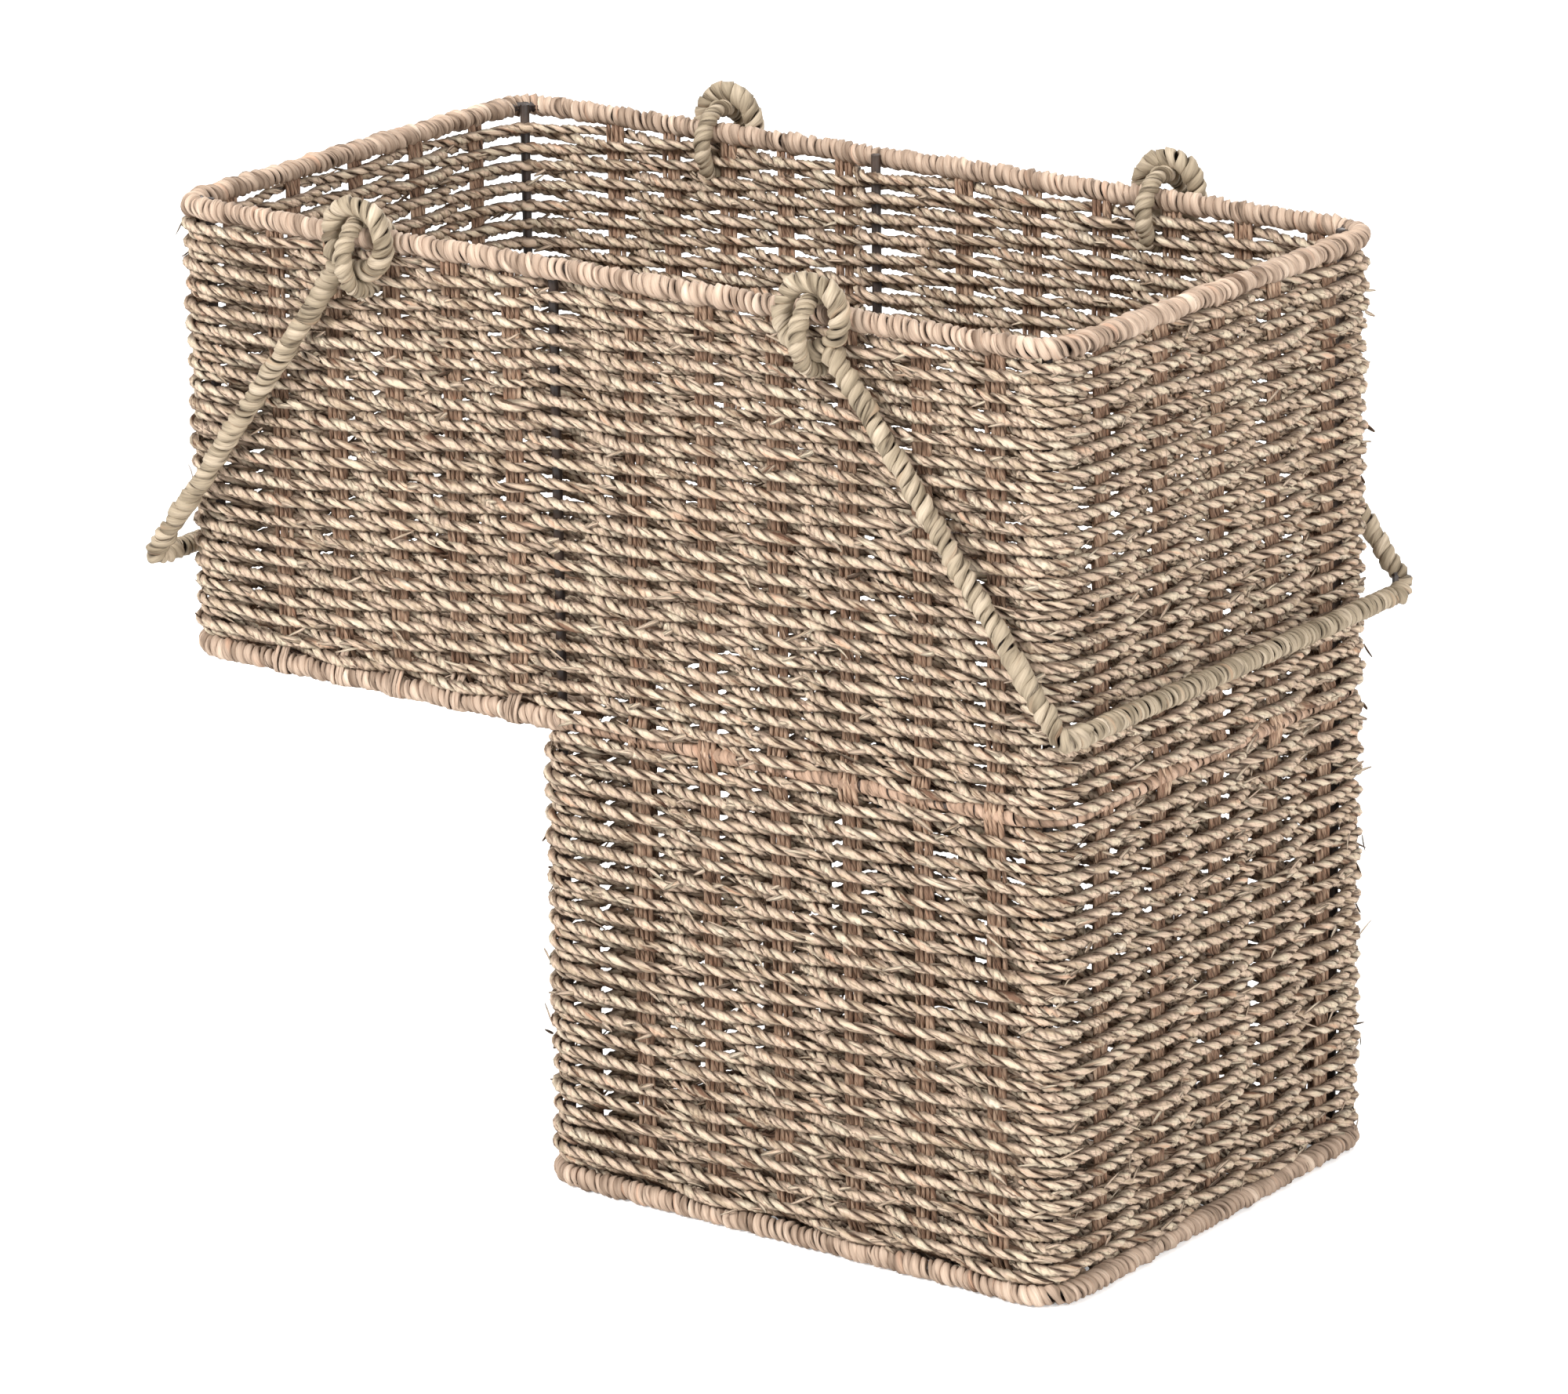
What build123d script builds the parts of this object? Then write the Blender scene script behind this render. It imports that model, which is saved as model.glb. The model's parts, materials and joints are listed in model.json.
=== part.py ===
"""Stair basket: a woven seagrass basket on a welded wire frame, with two swinging bail handles.

The basket stands on two stair treads. A full-length upper bin sits over a shorter lower bin,
and the left part of the upper bin overhangs as the step. All lengths are in millimetres.
X runs along the basket, with the step at -X. Y runs from the front to the back. Z is up.
The origin is on the floor, under the middle of the rim.
"""
from build123d import *
import math
import os

# ---------------------------------------------------------------- driving dimensions
LENGTH = 422.0               # rim hoop, centre line to centre line
DEPTH = 222.0
CORNER_RADIUS = 22.0         # bend of every hoop, on its centre line
BEND_CHORDS = 5              # straight stretches in a quarter bend, under the strands
RING_CHORDS = 14             # and in a whole ring
RIM_HEIGHT = 372.0           # rim hoop above the base hoop
STEP_HEIGHT = 190.0          # step hoop above the base hoop, one stair riser
OVERHANG = 178.0             # left end of the rim to the riser wall

HOOP_WIRE = 4.4              # diameters
POST_WIRE = 4.0
HANDLE_WIRE = 3.6
WELD_GAP = 0.05              # keeps a post's flats off the bend that it is welded in
BINDING = 9.2                # strand binding on the hoops, across its corners
WEAVE_OUTSIDE = 6.0          # weave faces, measured from the hoops' centre line
WEAVE_INSIDE = 7.2
STRAND_CLEARANCE = 0.1       # bindings close round a welded post or bar
RISER_GAP = 0.3              # step binding's ends to the lower bin
TOP_GAP = 8.2                # first weft course below the rim hoop's centre
FLOOR_LIFT = 0.6             # woven floors clear what the basket stands on

CORD_WIDTH = 4.2             # one paper cord of a stake, along the wall
CORD_THICKNESS = 3.4
CORD_GAP = 0.15
BOW = 14.0                   # half the height over which a stake bows round the step hoop
BOW_GAP = 0.6
STEP_STAKES = (5, 29.5, 50.5)     # count, pitch, first one from the left end
BASE_STAKES = (6, 33.5, 228.0)
END_STAKES = (5, 39.5)            # count and pitch across the depth

HANDLE_INSET = 102.0         # hinge axis to the nearer end of the rim
EYE_OFFSET = 10.5            # plane of the eyes and arms, outside the rim hoop
EYE_LIFT = 1.8               # hinge axis above the rim hoop
EYE_RADIUS = 13.0            # centre line of the eye ring
ARM_DIAMETER = 6.4
GRIP_DIAMETER = 8.4
GRIP_CLEARANCE = 0.6         # grip to the end wall when the handle hangs
HANDLE_DROP = 146.8          # hinge axis down to the hanging grip
HANDLE_BEND = 14.0
HANGER_RADIUS = 14.53        # centre line of the hanger ring
HANGER_ROPE = 5.2
HANGER_OUT = 4.77            # hanger ring's centre, outside and below the rim hoop
HANGER_DOWN = 5.09
HANGER_SLOT = 6.4            # gap that the top courses leave for a hanger
HANGER_GAP = 0.4             # below it

# ---------------------------------------------------------------- derived places
SIDES = 8
FLAT = BINDING / 2 * math.cos(math.pi / SIDES)       # centre of a hoop to a flat of its binding
HALF_LENGTH = LENGTH / 2
HALF_DEPTH = DEPTH / 2
RISER_X = -HALF_LENGTH + OVERHANG
BASE_LENGTH = LENGTH - OVERHANG
BASE_CENTRE_X = (RISER_X + HALF_LENGTH) / 2
BEND_X = RISER_X + CORNER_RADIUS                     # where the lower bin's front turns straight
BASE_Z = FLAT
STEP_Z = BASE_Z + STEP_HEIGHT
RIM_Z = BASE_Z + RIM_HEIGHT
WALL_TOP = RIM_Z - TOP_GAP
POST_INSET = (HOOP_WIRE + POST_WIRE) / 2 + WELD_GAP  # posts are welded inside the hoops
STEP_END = RISER_X - WEAVE_OUTSIDE - RISER_GAP
HINGE_X = HALF_LENGTH - HANDLE_INSET
HINGE_Z = RIM_Z + EYE_LIFT
ARM_Y = HALF_DEPTH + EYE_OFFSET
GRIP_X = HALF_LENGTH + WEAVE_OUTSIDE + GRIP_CLEARANCE + GRIP_DIAMETER / 2
HANDLE_REACH = math.hypot(GRIP_X - HINGE_X, HANDLE_DROP)
HANDLE_ANGLE = math.atan2(-HANDLE_DROP, GRIP_X - HINGE_X)


def octagon(circle_diameter):
    """Section of a wrapped piece, with flats above, below and at both sides."""
    return RegularPolygon(circle_diameter / 2, SIDES, rotation=180 / SIDES)


def wire_section(wire_diameter, clearance=0.0):
    """Eight flats at the wire's own diameter, so that a binding's bore closes on them."""
    return octagon((wire_diameter + 2 * clearance) / math.cos(math.pi / SIDES))


def run_along(path, section, upright=(0, 0, 1)):
    """Sweep a section along a path of straight stretches, with mitred corners."""
    start = Plane(origin=path @ 0, x_dir=upright, z_dir=path % 0)
    return sweep(start * section, path=path, transition=Transition.RIGHT)


def bend(centre, radius, start, turn, count=BEND_CHORDS):
    """Ends of the stretches of a round bend, from a start angle through a turn, in degrees."""
    x, y = centre
    angles = [math.radians(start + turn * i / count) for i in range(count + 1)]
    return [(x + radius * math.cos(a), y + radius * math.sin(a)) for a in angles]


def ring_path(radius):
    """Whole ring round the origin, begun in the middle of a stretch."""
    outer = 2 * radius / (1 + math.cos(math.pi / RING_CHORDS))
    points = bend((0, 0), outer, 0, 360, RING_CHORDS)[:-1]
    middle = ((points[-1][0] + points[0][0]) / 2, (points[-1][1] + points[0][1]) / 2)
    return Polyline(middle, *points, close=True)


# ---------------------------------------------------------------- wire frame
def hoop_path(length, centre_x, z):
    side = length / 2 - CORNER_RADIUS
    end = HALF_DEPTH - CORNER_RADIUS
    points = [(0, -HALF_DEPTH)]
    for x, y, start in ((side, -end, -90), (side, end, 0), (-side, end, 90), (-side, -end, 180)):
        points += bend((x, y), CORNER_RADIUS, start, 90)
    return Pos(centre_x, 0, z) * Polyline(*points, close=True)


def step_binding_path():
    """Front, left end and back of the step, as far as the lower bin."""
    left = -HALF_LENGTH + CORNER_RADIUS
    side = HALF_DEPTH - CORNER_RADIUS
    front_bend = bend((left, -side), CORNER_RADIUS, 270, -90)
    back_bend = bend((left, side), CORNER_RADIUS, 180, -90)
    ends = (STEP_END, -HALF_DEPTH), (STEP_END, HALF_DEPTH)
    return Pos(0, 0, STEP_Z) * Polyline(ends[0], *front_bend, *back_bend, ends[1])


def post_pair(x, y, bottom, clearance=0.0):
    """Front and back post up to the rim, or with a clearance, the room that a binding leaves."""
    rod = extrude(wire_section(POST_WIRE, clearance), RIM_Z + HOOP_WIRE / 2 - bottom)
    return [Pos(x, -y, bottom) * rod, Pos(x, y, bottom) * rod]


def corner_posts(side, foot_z, clearance=0.0):
    """Posts welded inside the bends of the hoops, at the left (-1) or right (+1) end."""
    middle = CORNER_RADIUS * math.cos(math.radians(45 / BEND_CHORDS))
    reach = (middle - POST_INSET) * math.sqrt(0.5)
    x = side * (HALF_LENGTH - CORNER_RADIUS + reach)
    y = HALF_DEPTH - CORNER_RADIUS + reach
    return post_pair(x, y, foot_z - HOOP_WIRE / 2, clearance)


def riser_posts(clearance=0.0):
    """Posts that stand on the base hoop's left bends and pass inside the other two hoops."""
    x = BEND_X - math.sqrt(CORNER_RADIUS**2 - (CORNER_RADIUS - POST_INSET) ** 2)
    return post_pair(x, HALF_DEPTH - POST_INSET, BASE_Z + HOOP_WIRE / 2, clearance)


def all_posts(clearance=0.0):
    """Each group of posts by node name."""
    return {
        "left_corner_posts": corner_posts(-1, STEP_Z, clearance),
        "right_corner_posts": corner_posts(1, BASE_Z, clearance),
        "riser_posts": riser_posts(clearance),
    }


def crossbar(section, half_span):
    """Straight bar under the step's inner edge, from front to back."""
    start = Plane(origin=(RISER_X, -half_span, STEP_Z), x_dir=(1, 0, 0), z_dir=(0, 1, 0))
    return extrude(start * section, 2 * half_span)


# ---------------------------------------------------------------- stakes
def stake_strip(points, plane, width):
    """Strip bent along a wall and a floor; the plane's normal runs across it."""
    path = plane * Polyline(*points)
    start = Plane(origin=path @ 0, x_dir=plane.z_dir, z_dir=path % 0)
    section = Rectangle(width, CORD_THICKNESS)
    return sweep(start * section, path=path, transition=Transition.RIGHT)


def turn_clear(hoop_z, floor_z):
    """Height where a stake leaves its wall, and how far in it lands, to pass a binding."""
    leave = hoop_z + (FLAT + CORD_THICKNESS / 2 + CORD_GAP) * math.sqrt(2)
    return leave, leave - floor_z


def spread(cord, places, direction):
    """A copy of a cord at each place along a direction."""
    return [Pos(*(direction * place)) * cord for place in places]


def paired(places):
    """Two cords side by side at each stake."""
    half = (CORD_WIDTH + CORD_GAP) / 2
    return [place + side for place in places for side in (-half, half)]


def along(count, pitch, first):
    return [-HALF_LENGTH + first + pitch * i for i in range(count)]


def across(count, pitch):
    return [pitch * (i - (count - 1) / 2) for i in range(count)]


def floor_height(hoop_z, layer):
    """Centre of a stake in a floor: the crosswise layer (-1) lies under the lengthwise one (+1)."""
    return hoop_z + FLOOR_LIFT / 2 + layer * (CORD_THICKNESS / 2 + CORD_GAP)


def past_step_hoop(wall):
    """Bow of a full-height stake round the inside of the step hoop, where weave buries it."""
    inside = wall - (HOOP_WIRE + CORD_THICKNESS) / 2 - BOW_GAP
    return [(wall, STEP_Z + BOW), (inside, STEP_Z), (wall, STEP_Z - BOW)]


def cross_stake_points(hoop_z):
    """Down the front wall, under the bin and up the back wall."""
    floor_z = floor_height(hoop_z, -1)
    leave, inward = turn_clear(hoop_z, floor_z)
    bow = past_step_hoop(HALF_DEPTH) if hoop_z < STEP_Z else []
    top = (HALF_DEPTH, RIM_Z - FLAT)
    half = [top, *bow, (HALF_DEPTH, leave), (HALF_DEPTH - inward, floor_z)]
    return [(-y, z) for y, z in half] + half[::-1]


def left_stake_points():
    """Down the left end and along the step's floor to the crossbar."""
    floor_z = floor_height(STEP_Z, 1)
    leave, inward = turn_clear(STEP_Z, floor_z)
    return [
        (-HALF_LENGTH, RIM_Z - FLAT),
        (-HALF_LENGTH, leave),
        (-HALF_LENGTH + inward, floor_z),
        (RISER_X - FLAT, floor_z),
    ]


def right_stake_points():
    """Down the right end, along the base's floor and up the riser to the crossbar."""
    floor_z = floor_height(BASE_Z, 1)
    leave, inward = turn_clear(BASE_Z, floor_z)
    return [
        (HALF_LENGTH, RIM_Z - FLAT),
        *past_step_hoop(HALF_LENGTH),
        (HALF_LENGTH, leave),
        (HALF_LENGTH - inward, floor_z),
        (RISER_X + inward, floor_z),
        (RISER_X, leave),
        (RISER_X, STEP_Z - FLAT),
    ]


def stake_groups():
    """Points, plane, places and direction of spread of each group of stakes, by node name."""
    return {
        "step_cross_stakes": (cross_stake_points(STEP_Z), Plane.YZ, along(*STEP_STAKES), (1, 0, 0)),
        "base_cross_stakes": (cross_stake_points(BASE_Z), Plane.YZ, along(*BASE_STAKES), (1, 0, 0)),
        "left_end_stakes": (left_stake_points(), Plane.XZ, across(*END_STAKES), (0, 1, 0)),
        "right_end_stakes": (right_stake_points(), Plane.XZ, across(*END_STAKES), (0, 1, 0)),
    }


def stake_cords():
    """Every stake as two cords side by side, by node name."""
    return {
        name: spread(stake_strip(points, plane, CORD_WIDTH), paired(places), Vector(*direction))
        for name, (points, plane, places, direction) in stake_groups().items()
    }


def stake_room():
    """The room that the weave leaves round each pair of cords."""
    width = 2 * CORD_WIDTH + CORD_GAP
    room = []
    for points, plane, places, direction in stake_groups().values():
        room += spread(stake_strip(points, plane, width), places, Vector(*direction))
    return room


# ---------------------------------------------------------------- woven walls and floors
def wall_band(length, centre_x, bottom, top):
    """Closed band of weave with rounded corners, around a hoop's centre line."""
    outer = RectangleRounded(
        length + 2 * WEAVE_OUTSIDE, DEPTH + 2 * WEAVE_OUTSIDE, CORNER_RADIUS + WEAVE_OUTSIDE
    )
    inner = RectangleRounded(
        length - 2 * WEAVE_INSIDE, DEPTH - 2 * WEAVE_INSIDE, CORNER_RADIUS - WEAVE_INSIDE
    )
    return Pos(centre_x, 0, bottom) * extrude(outer - inner, top - bottom)


def cut_out(band, x_range, y_range):
    """The part of a band over a rectangle of the plan."""
    tall = 3 * RIM_Z
    x_low, x_high = x_range
    y_low, y_high = y_range
    window = Pos((x_low + x_high) / 2, (y_low + y_high) / 2, 0) * Box(
        x_high - x_low, y_high - y_low, tall
    )
    return band & window


def woven_walls():
    """Every wall panel and rounded corner, by name."""
    upper = wall_band(LENGTH, 0, STEP_Z + FLAT, WALL_TOP)
    lower = wall_band(BASE_LENGTH, BASE_CENTRE_X, BASE_Z + FLAT, STEP_Z + FLAT)
    under_step = wall_band(BASE_LENGTH, BASE_CENTRE_X, BASE_Z + FLAT, STEP_Z - FLAT)
    tall = upper + lower
    far = LENGTH
    left = -HALF_LENGTH + CORNER_RADIUS
    right = HALF_LENGTH - CORNER_RADIUS
    side = HALF_DEPTH - CORNER_RADIUS
    middle = (-side, side)
    shoulder = wall_band(LENGTH, 0, STEP_Z - FLAT, STEP_Z + FLAT)
    walls = {
        "weave_left_end": cut_out(upper, (-far, left), middle),
        "weave_right_end": cut_out(tall, (right, far), middle),
        "weave_riser": cut_out(under_step, (RISER_X - far, BEND_X), middle),
    }
    flank = HALF_DEPTH - FLAT
    for name, y_range, outer_range in (
        ("front", (-far, -side), (-far, -flank)),
        ("back", (side, far), (flank, far)),
    ):
        walls[f"weave_{name}_upper"] = cut_out(upper, (left, right), y_range)
        walls[f"weave_{name}_lower"] = cut_out(lower, (BEND_X, right), y_range)
        walls[f"weave_corner_{name}_left"] = cut_out(upper, (-far, left), y_range)
        walls[f"weave_corner_{name}_right"] = cut_out(tall, (right, far), y_range)
        riser = cut_out(under_step, (RISER_X - far, BEND_X), y_range)
        rows_above = cut_out(shoulder, (RISER_X - WEAVE_OUTSIDE, BEND_X), outer_range)
        walls[f"weave_corner_{name}_riser"] = riser + rows_above
    return walls


def woven_floor(length, centre_x, hoop_z):
    """Floor inside a bound hoop, level with the flats of its binding."""
    hoop = make_face(hoop_path(length, centre_x, hoop_z - FLAT + FLOOR_LIFT))
    outline = offset(hoop, -FLAT, kind=Kind.INTERSECTION)
    return extrude(outline, 2 * FLAT - FLOOR_LIFT, dir=(0, 0, 1))


def step_floor():
    """The step's floor stops square against the crossbar's binding."""
    whole = woven_floor(LENGTH, 0, STEP_Z)
    return cut_out(whole, (-LENGTH, RISER_X - FLAT), (-DEPTH, DEPTH))


def hanger_slots():
    """Gaps through the top courses where the four hanger rings pass."""
    depth = HANGER_DOWN + HANGER_RADIUS + HANGER_ROPE / 2 + HANGER_GAP - TOP_GAP
    slot = Box(HANGER_SLOT, WEAVE_OUTSIDE * 4, depth)
    z = WALL_TOP - depth / 2
    return [Pos(sx * HINGE_X, sy * HALF_DEPTH, z) * slot for sx in (-1, 1) for sy in (-1, 1)]


# ---------------------------------------------------------------- handles
def hanger_ring(side_x, side_y):
    """Wrapped ring round the rim that carries one eye of a handle."""
    centre = Vector(
        side_x * HINGE_X, side_y * (HALF_DEPTH + HANGER_OUT), RIM_Z - HANGER_DOWN
    )
    ring = run_along(Plane.YZ * ring_path(HANGER_RADIUS), octagon(HANGER_ROPE), (1, 0, 0))
    return Pos(*centre) * ring


def handle_frame():
    """Plane of the right handle as it hangs: X from the hinge axis to the grip, Y along the axis."""
    outward = Vector(math.cos(HANDLE_ANGLE), 0, math.sin(HANDLE_ANGLE))
    normal = Vector(-math.sin(HANDLE_ANGLE), 0, math.cos(HANDLE_ANGLE))
    return Plane(origin=(HINGE_X, 0, HINGE_Z), x_dir=outward, z_dir=normal)


def arm_points(side):
    """Centre line of one arm, from its eye round the bend to the grip."""
    middle = HANDLE_REACH - HANDLE_BEND, side * (ARM_Y - HANDLE_BEND)
    return [(EYE_RADIUS, side * ARM_Y), *bend(middle, HANDLE_BEND, side * 90, -side * 90)]


def handle_arm(side):
    """Eye ring and wrapped arm in one strand, hollow for the wire."""
    path = Polyline(*arm_points(side))
    place = Plane.XZ.offset(-side * ARM_Y)
    eye = run_along(place * ring_path(EYE_RADIUS), octagon(ARM_DIAMETER), (0, 1, 0))
    arm = run_along(path, octagon(ARM_DIAMETER))
    return eye + arm - run_along(path, wire_section(HANDLE_WIRE))


def handle_wire():
    """Wire bail inside both arms and the grip."""
    path = Polyline(*arm_points(-1), *reversed(arm_points(1)))
    return run_along(path, wire_section(HANDLE_WIRE))


def handle_grip():
    """Fine cord wound closely over the wire between the two bends."""
    half = ARM_Y - HANDLE_BEND
    start = Plane(origin=(HANDLE_REACH, -half, 0), x_dir=(1, 0, 0), z_dir=(0, 1, 0))
    return extrude(start * (octagon(GRIP_DIAMETER) - wire_section(HANDLE_WIRE)), 2 * half)


# ---------------------------------------------------------------- assembly
def meets(one, other):
    """Whether two solids' boxes overlap, so that a cut is worth making."""
    a, b = one.bounding_box(), other.bounding_box()
    low = [max(p, q) for p, q in zip(a.min, b.min)]
    high = [min(p, q) for p, q in zip(a.max, b.max)]
    return all(h - l > 1e-6 for l, h in zip(low, high))


def relieved(solid, cutters):
    """Take out of a soft solid the room that harder pieces fill."""
    for cutter in cutters:
        if meets(solid, cutter):
            solid -= cutter
    return solid


def rim_lengths(binding):
    """The rim's binding as it is wound: one length round each bend and one along each side."""
    straight_x = HALF_LENGTH - CORNER_RADIUS
    straight_y = HALF_DEPTH - CORNER_RADIUS
    x_ranges = (-LENGTH, -straight_x), (-straight_x, straight_x), (straight_x, LENGTH)
    y_ranges = (-DEPTH, -straight_y), (-straight_y, straight_y), (straight_y, DEPTH)
    windows = [(x_range, y_range) for x_range in x_ranges for y_range in y_ranges]
    middle = windows.pop(len(windows) // 2)
    assert not cut_out(binding, *middle), "the mouth is open"
    return [cut_out(binding, *window) for window in windows]


def build_parts():
    """Every sub-part by node name; a list is a group of separate solids."""
    wire = wire_section(HOOP_WIRE)
    ring = octagon(BINDING) - wire
    rim_path = hoop_path(LENGTH, 0, RIM_Z)
    step_path = hoop_path(LENGTH, 0, STEP_Z)
    base_path = hoop_path(BASE_LENGTH, BASE_CENTRE_X, BASE_Z)
    parts = {
        "rim_wire": run_along(rim_path, wire),
        "step_wire": run_along(step_path, wire),
        "base_wire": run_along(base_path, wire),
        "step_crossbar_wire": crossbar(wire, HALF_DEPTH - HOOP_WIRE / 2),
        **all_posts(),
    }
    room = [post for pair in all_posts(STRAND_CLEARANCE).values() for post in pair]
    room.append(crossbar(wire_section(HOOP_WIRE, STRAND_CLEARANCE), HALF_DEPTH))
    bindings = {
        "rim_binding": run_along(rim_path, ring),
        "step_binding": run_along(step_binding_path(), ring),
        "base_binding": run_along(base_path, ring),
    }
    for name, binding in bindings.items():
        parts[name] = relieved(binding, room)
    parts["rim_binding"] = rim_lengths(parts["rim_binding"])
    parts["step_crossbar_binding"] = crossbar(ring, HALF_DEPTH - FLAT)

    parts.update(stake_cords())
    woven = woven_walls()
    woven["weave_step_floor"] = step_floor()
    woven["weave_base_floor"] = woven_floor(BASE_LENGTH, BASE_CENTRE_X, BASE_Z)
    posts = [post for pair in all_posts().values() for post in pair]
    inside = posts + stake_room() + hanger_slots() + [parts["step_wire"], parts["step_crossbar_wire"]]
    for name, panel in woven.items():
        parts[name] = relieved(panel, inside)

    for name, side_x in (("left", -1), ("right", 1)):
        parts[f"hanger_rings_{name}"] = [hanger_ring(side_x, side_y) for side_y in (-1, 1)]

    place = handle_frame()
    handle = {
        "wire": handle_wire(),
        "arm_front": handle_arm(-1),
        "arm_back": handle_arm(1),
        "grip": handle_grip(),
    }
    for name, solid in handle.items():
        hanging = place * solid
        parts[f"handle_right_{name}"] = hanging
        parts[f"handle_left_{name}"] = mirror(hanging, about=Plane.YZ)
    return parts


def main():
    os.makedirs("parts", exist_ok=True)
    for name, solid in build_parts().items():
        shape = Compound(children=solid) if isinstance(solid, list) else solid
        export_step(shape, f"parts/{name}.step")
        print(name, round(shape.volume, 1))


if __name__ == "__main__":
    main()
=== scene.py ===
"""Visual model of a woven stair basket: rope weave on a wire frame, wrapped rims and bail handles.

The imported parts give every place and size. The woven and wrapped pieces are made from strands,
each swept along a track and wound round it, and stand for the plain parts that they cover.
Lengths are in metres.
"""
from __future__ import annotations

import json
import logging
import math
from dataclasses import dataclass, replace
from enum import Enum

import bpy
import numpy as np
from mathutils import Matrix, Vector

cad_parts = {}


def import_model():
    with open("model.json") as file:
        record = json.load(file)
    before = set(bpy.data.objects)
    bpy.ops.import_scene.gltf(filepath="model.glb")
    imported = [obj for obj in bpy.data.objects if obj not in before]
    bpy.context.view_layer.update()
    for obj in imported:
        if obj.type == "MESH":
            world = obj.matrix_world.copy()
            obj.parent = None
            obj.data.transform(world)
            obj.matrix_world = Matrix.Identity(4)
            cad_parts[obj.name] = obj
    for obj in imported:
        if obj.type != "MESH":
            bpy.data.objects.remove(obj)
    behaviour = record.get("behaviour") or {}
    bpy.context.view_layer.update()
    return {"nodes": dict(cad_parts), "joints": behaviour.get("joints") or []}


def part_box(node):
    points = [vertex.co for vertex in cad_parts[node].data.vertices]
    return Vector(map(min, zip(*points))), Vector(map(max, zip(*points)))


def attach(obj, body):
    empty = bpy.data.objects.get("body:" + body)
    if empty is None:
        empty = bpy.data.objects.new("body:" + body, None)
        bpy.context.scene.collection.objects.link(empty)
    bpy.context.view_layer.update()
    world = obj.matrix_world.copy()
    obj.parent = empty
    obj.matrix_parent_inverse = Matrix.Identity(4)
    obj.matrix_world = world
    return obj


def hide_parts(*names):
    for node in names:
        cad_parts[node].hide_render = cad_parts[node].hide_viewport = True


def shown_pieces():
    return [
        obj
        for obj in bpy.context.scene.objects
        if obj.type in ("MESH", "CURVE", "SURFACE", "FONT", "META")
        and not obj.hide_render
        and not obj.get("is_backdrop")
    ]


LOG = logging.getLogger("stair_basket")
MM = 0.001
TURN = 2 * math.pi
SEED = 84
BLACK = (0.0, 0.0, 0.0, 1.0)
WHITE = (1.0, 1.0, 1.0, 1.0)
MAP_SPAN = 900.0  # strands start their maps anywhere within this many centimetres
FLOOR_RISE = 1.3 * MM  # from the middle of a hoop up to the middle of its floor
REST_GAP = 0.1 * MM  # from a surface that the basket rests on up to its lowest strands
REST_SOFT = 1.2 * MM  # thickness of strand that resting presses together
BEND_POINTS = 7  # points on a rounded corner
BEND_LIMIT = 0.45  # largest share of a leg that a rounded corner takes


class Body(Enum):
    """Rigid bodies of the basket."""

    BASKET = "basket"
    RIGHT_HANDLE = "handle_right"
    LEFT_HANDLE = "handle_left"


class Slot(Enum):
    """Names of material slots; nothing in this script gives them to a material or piece."""

    WIRE = "frame_wire"
    RIM_CORD = "rim_cord"
    HANDLE_CORD = "handle_cord"
    STAKE_CORD = "stake_cord"
    ROPE = "seagrass_rope"


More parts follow.
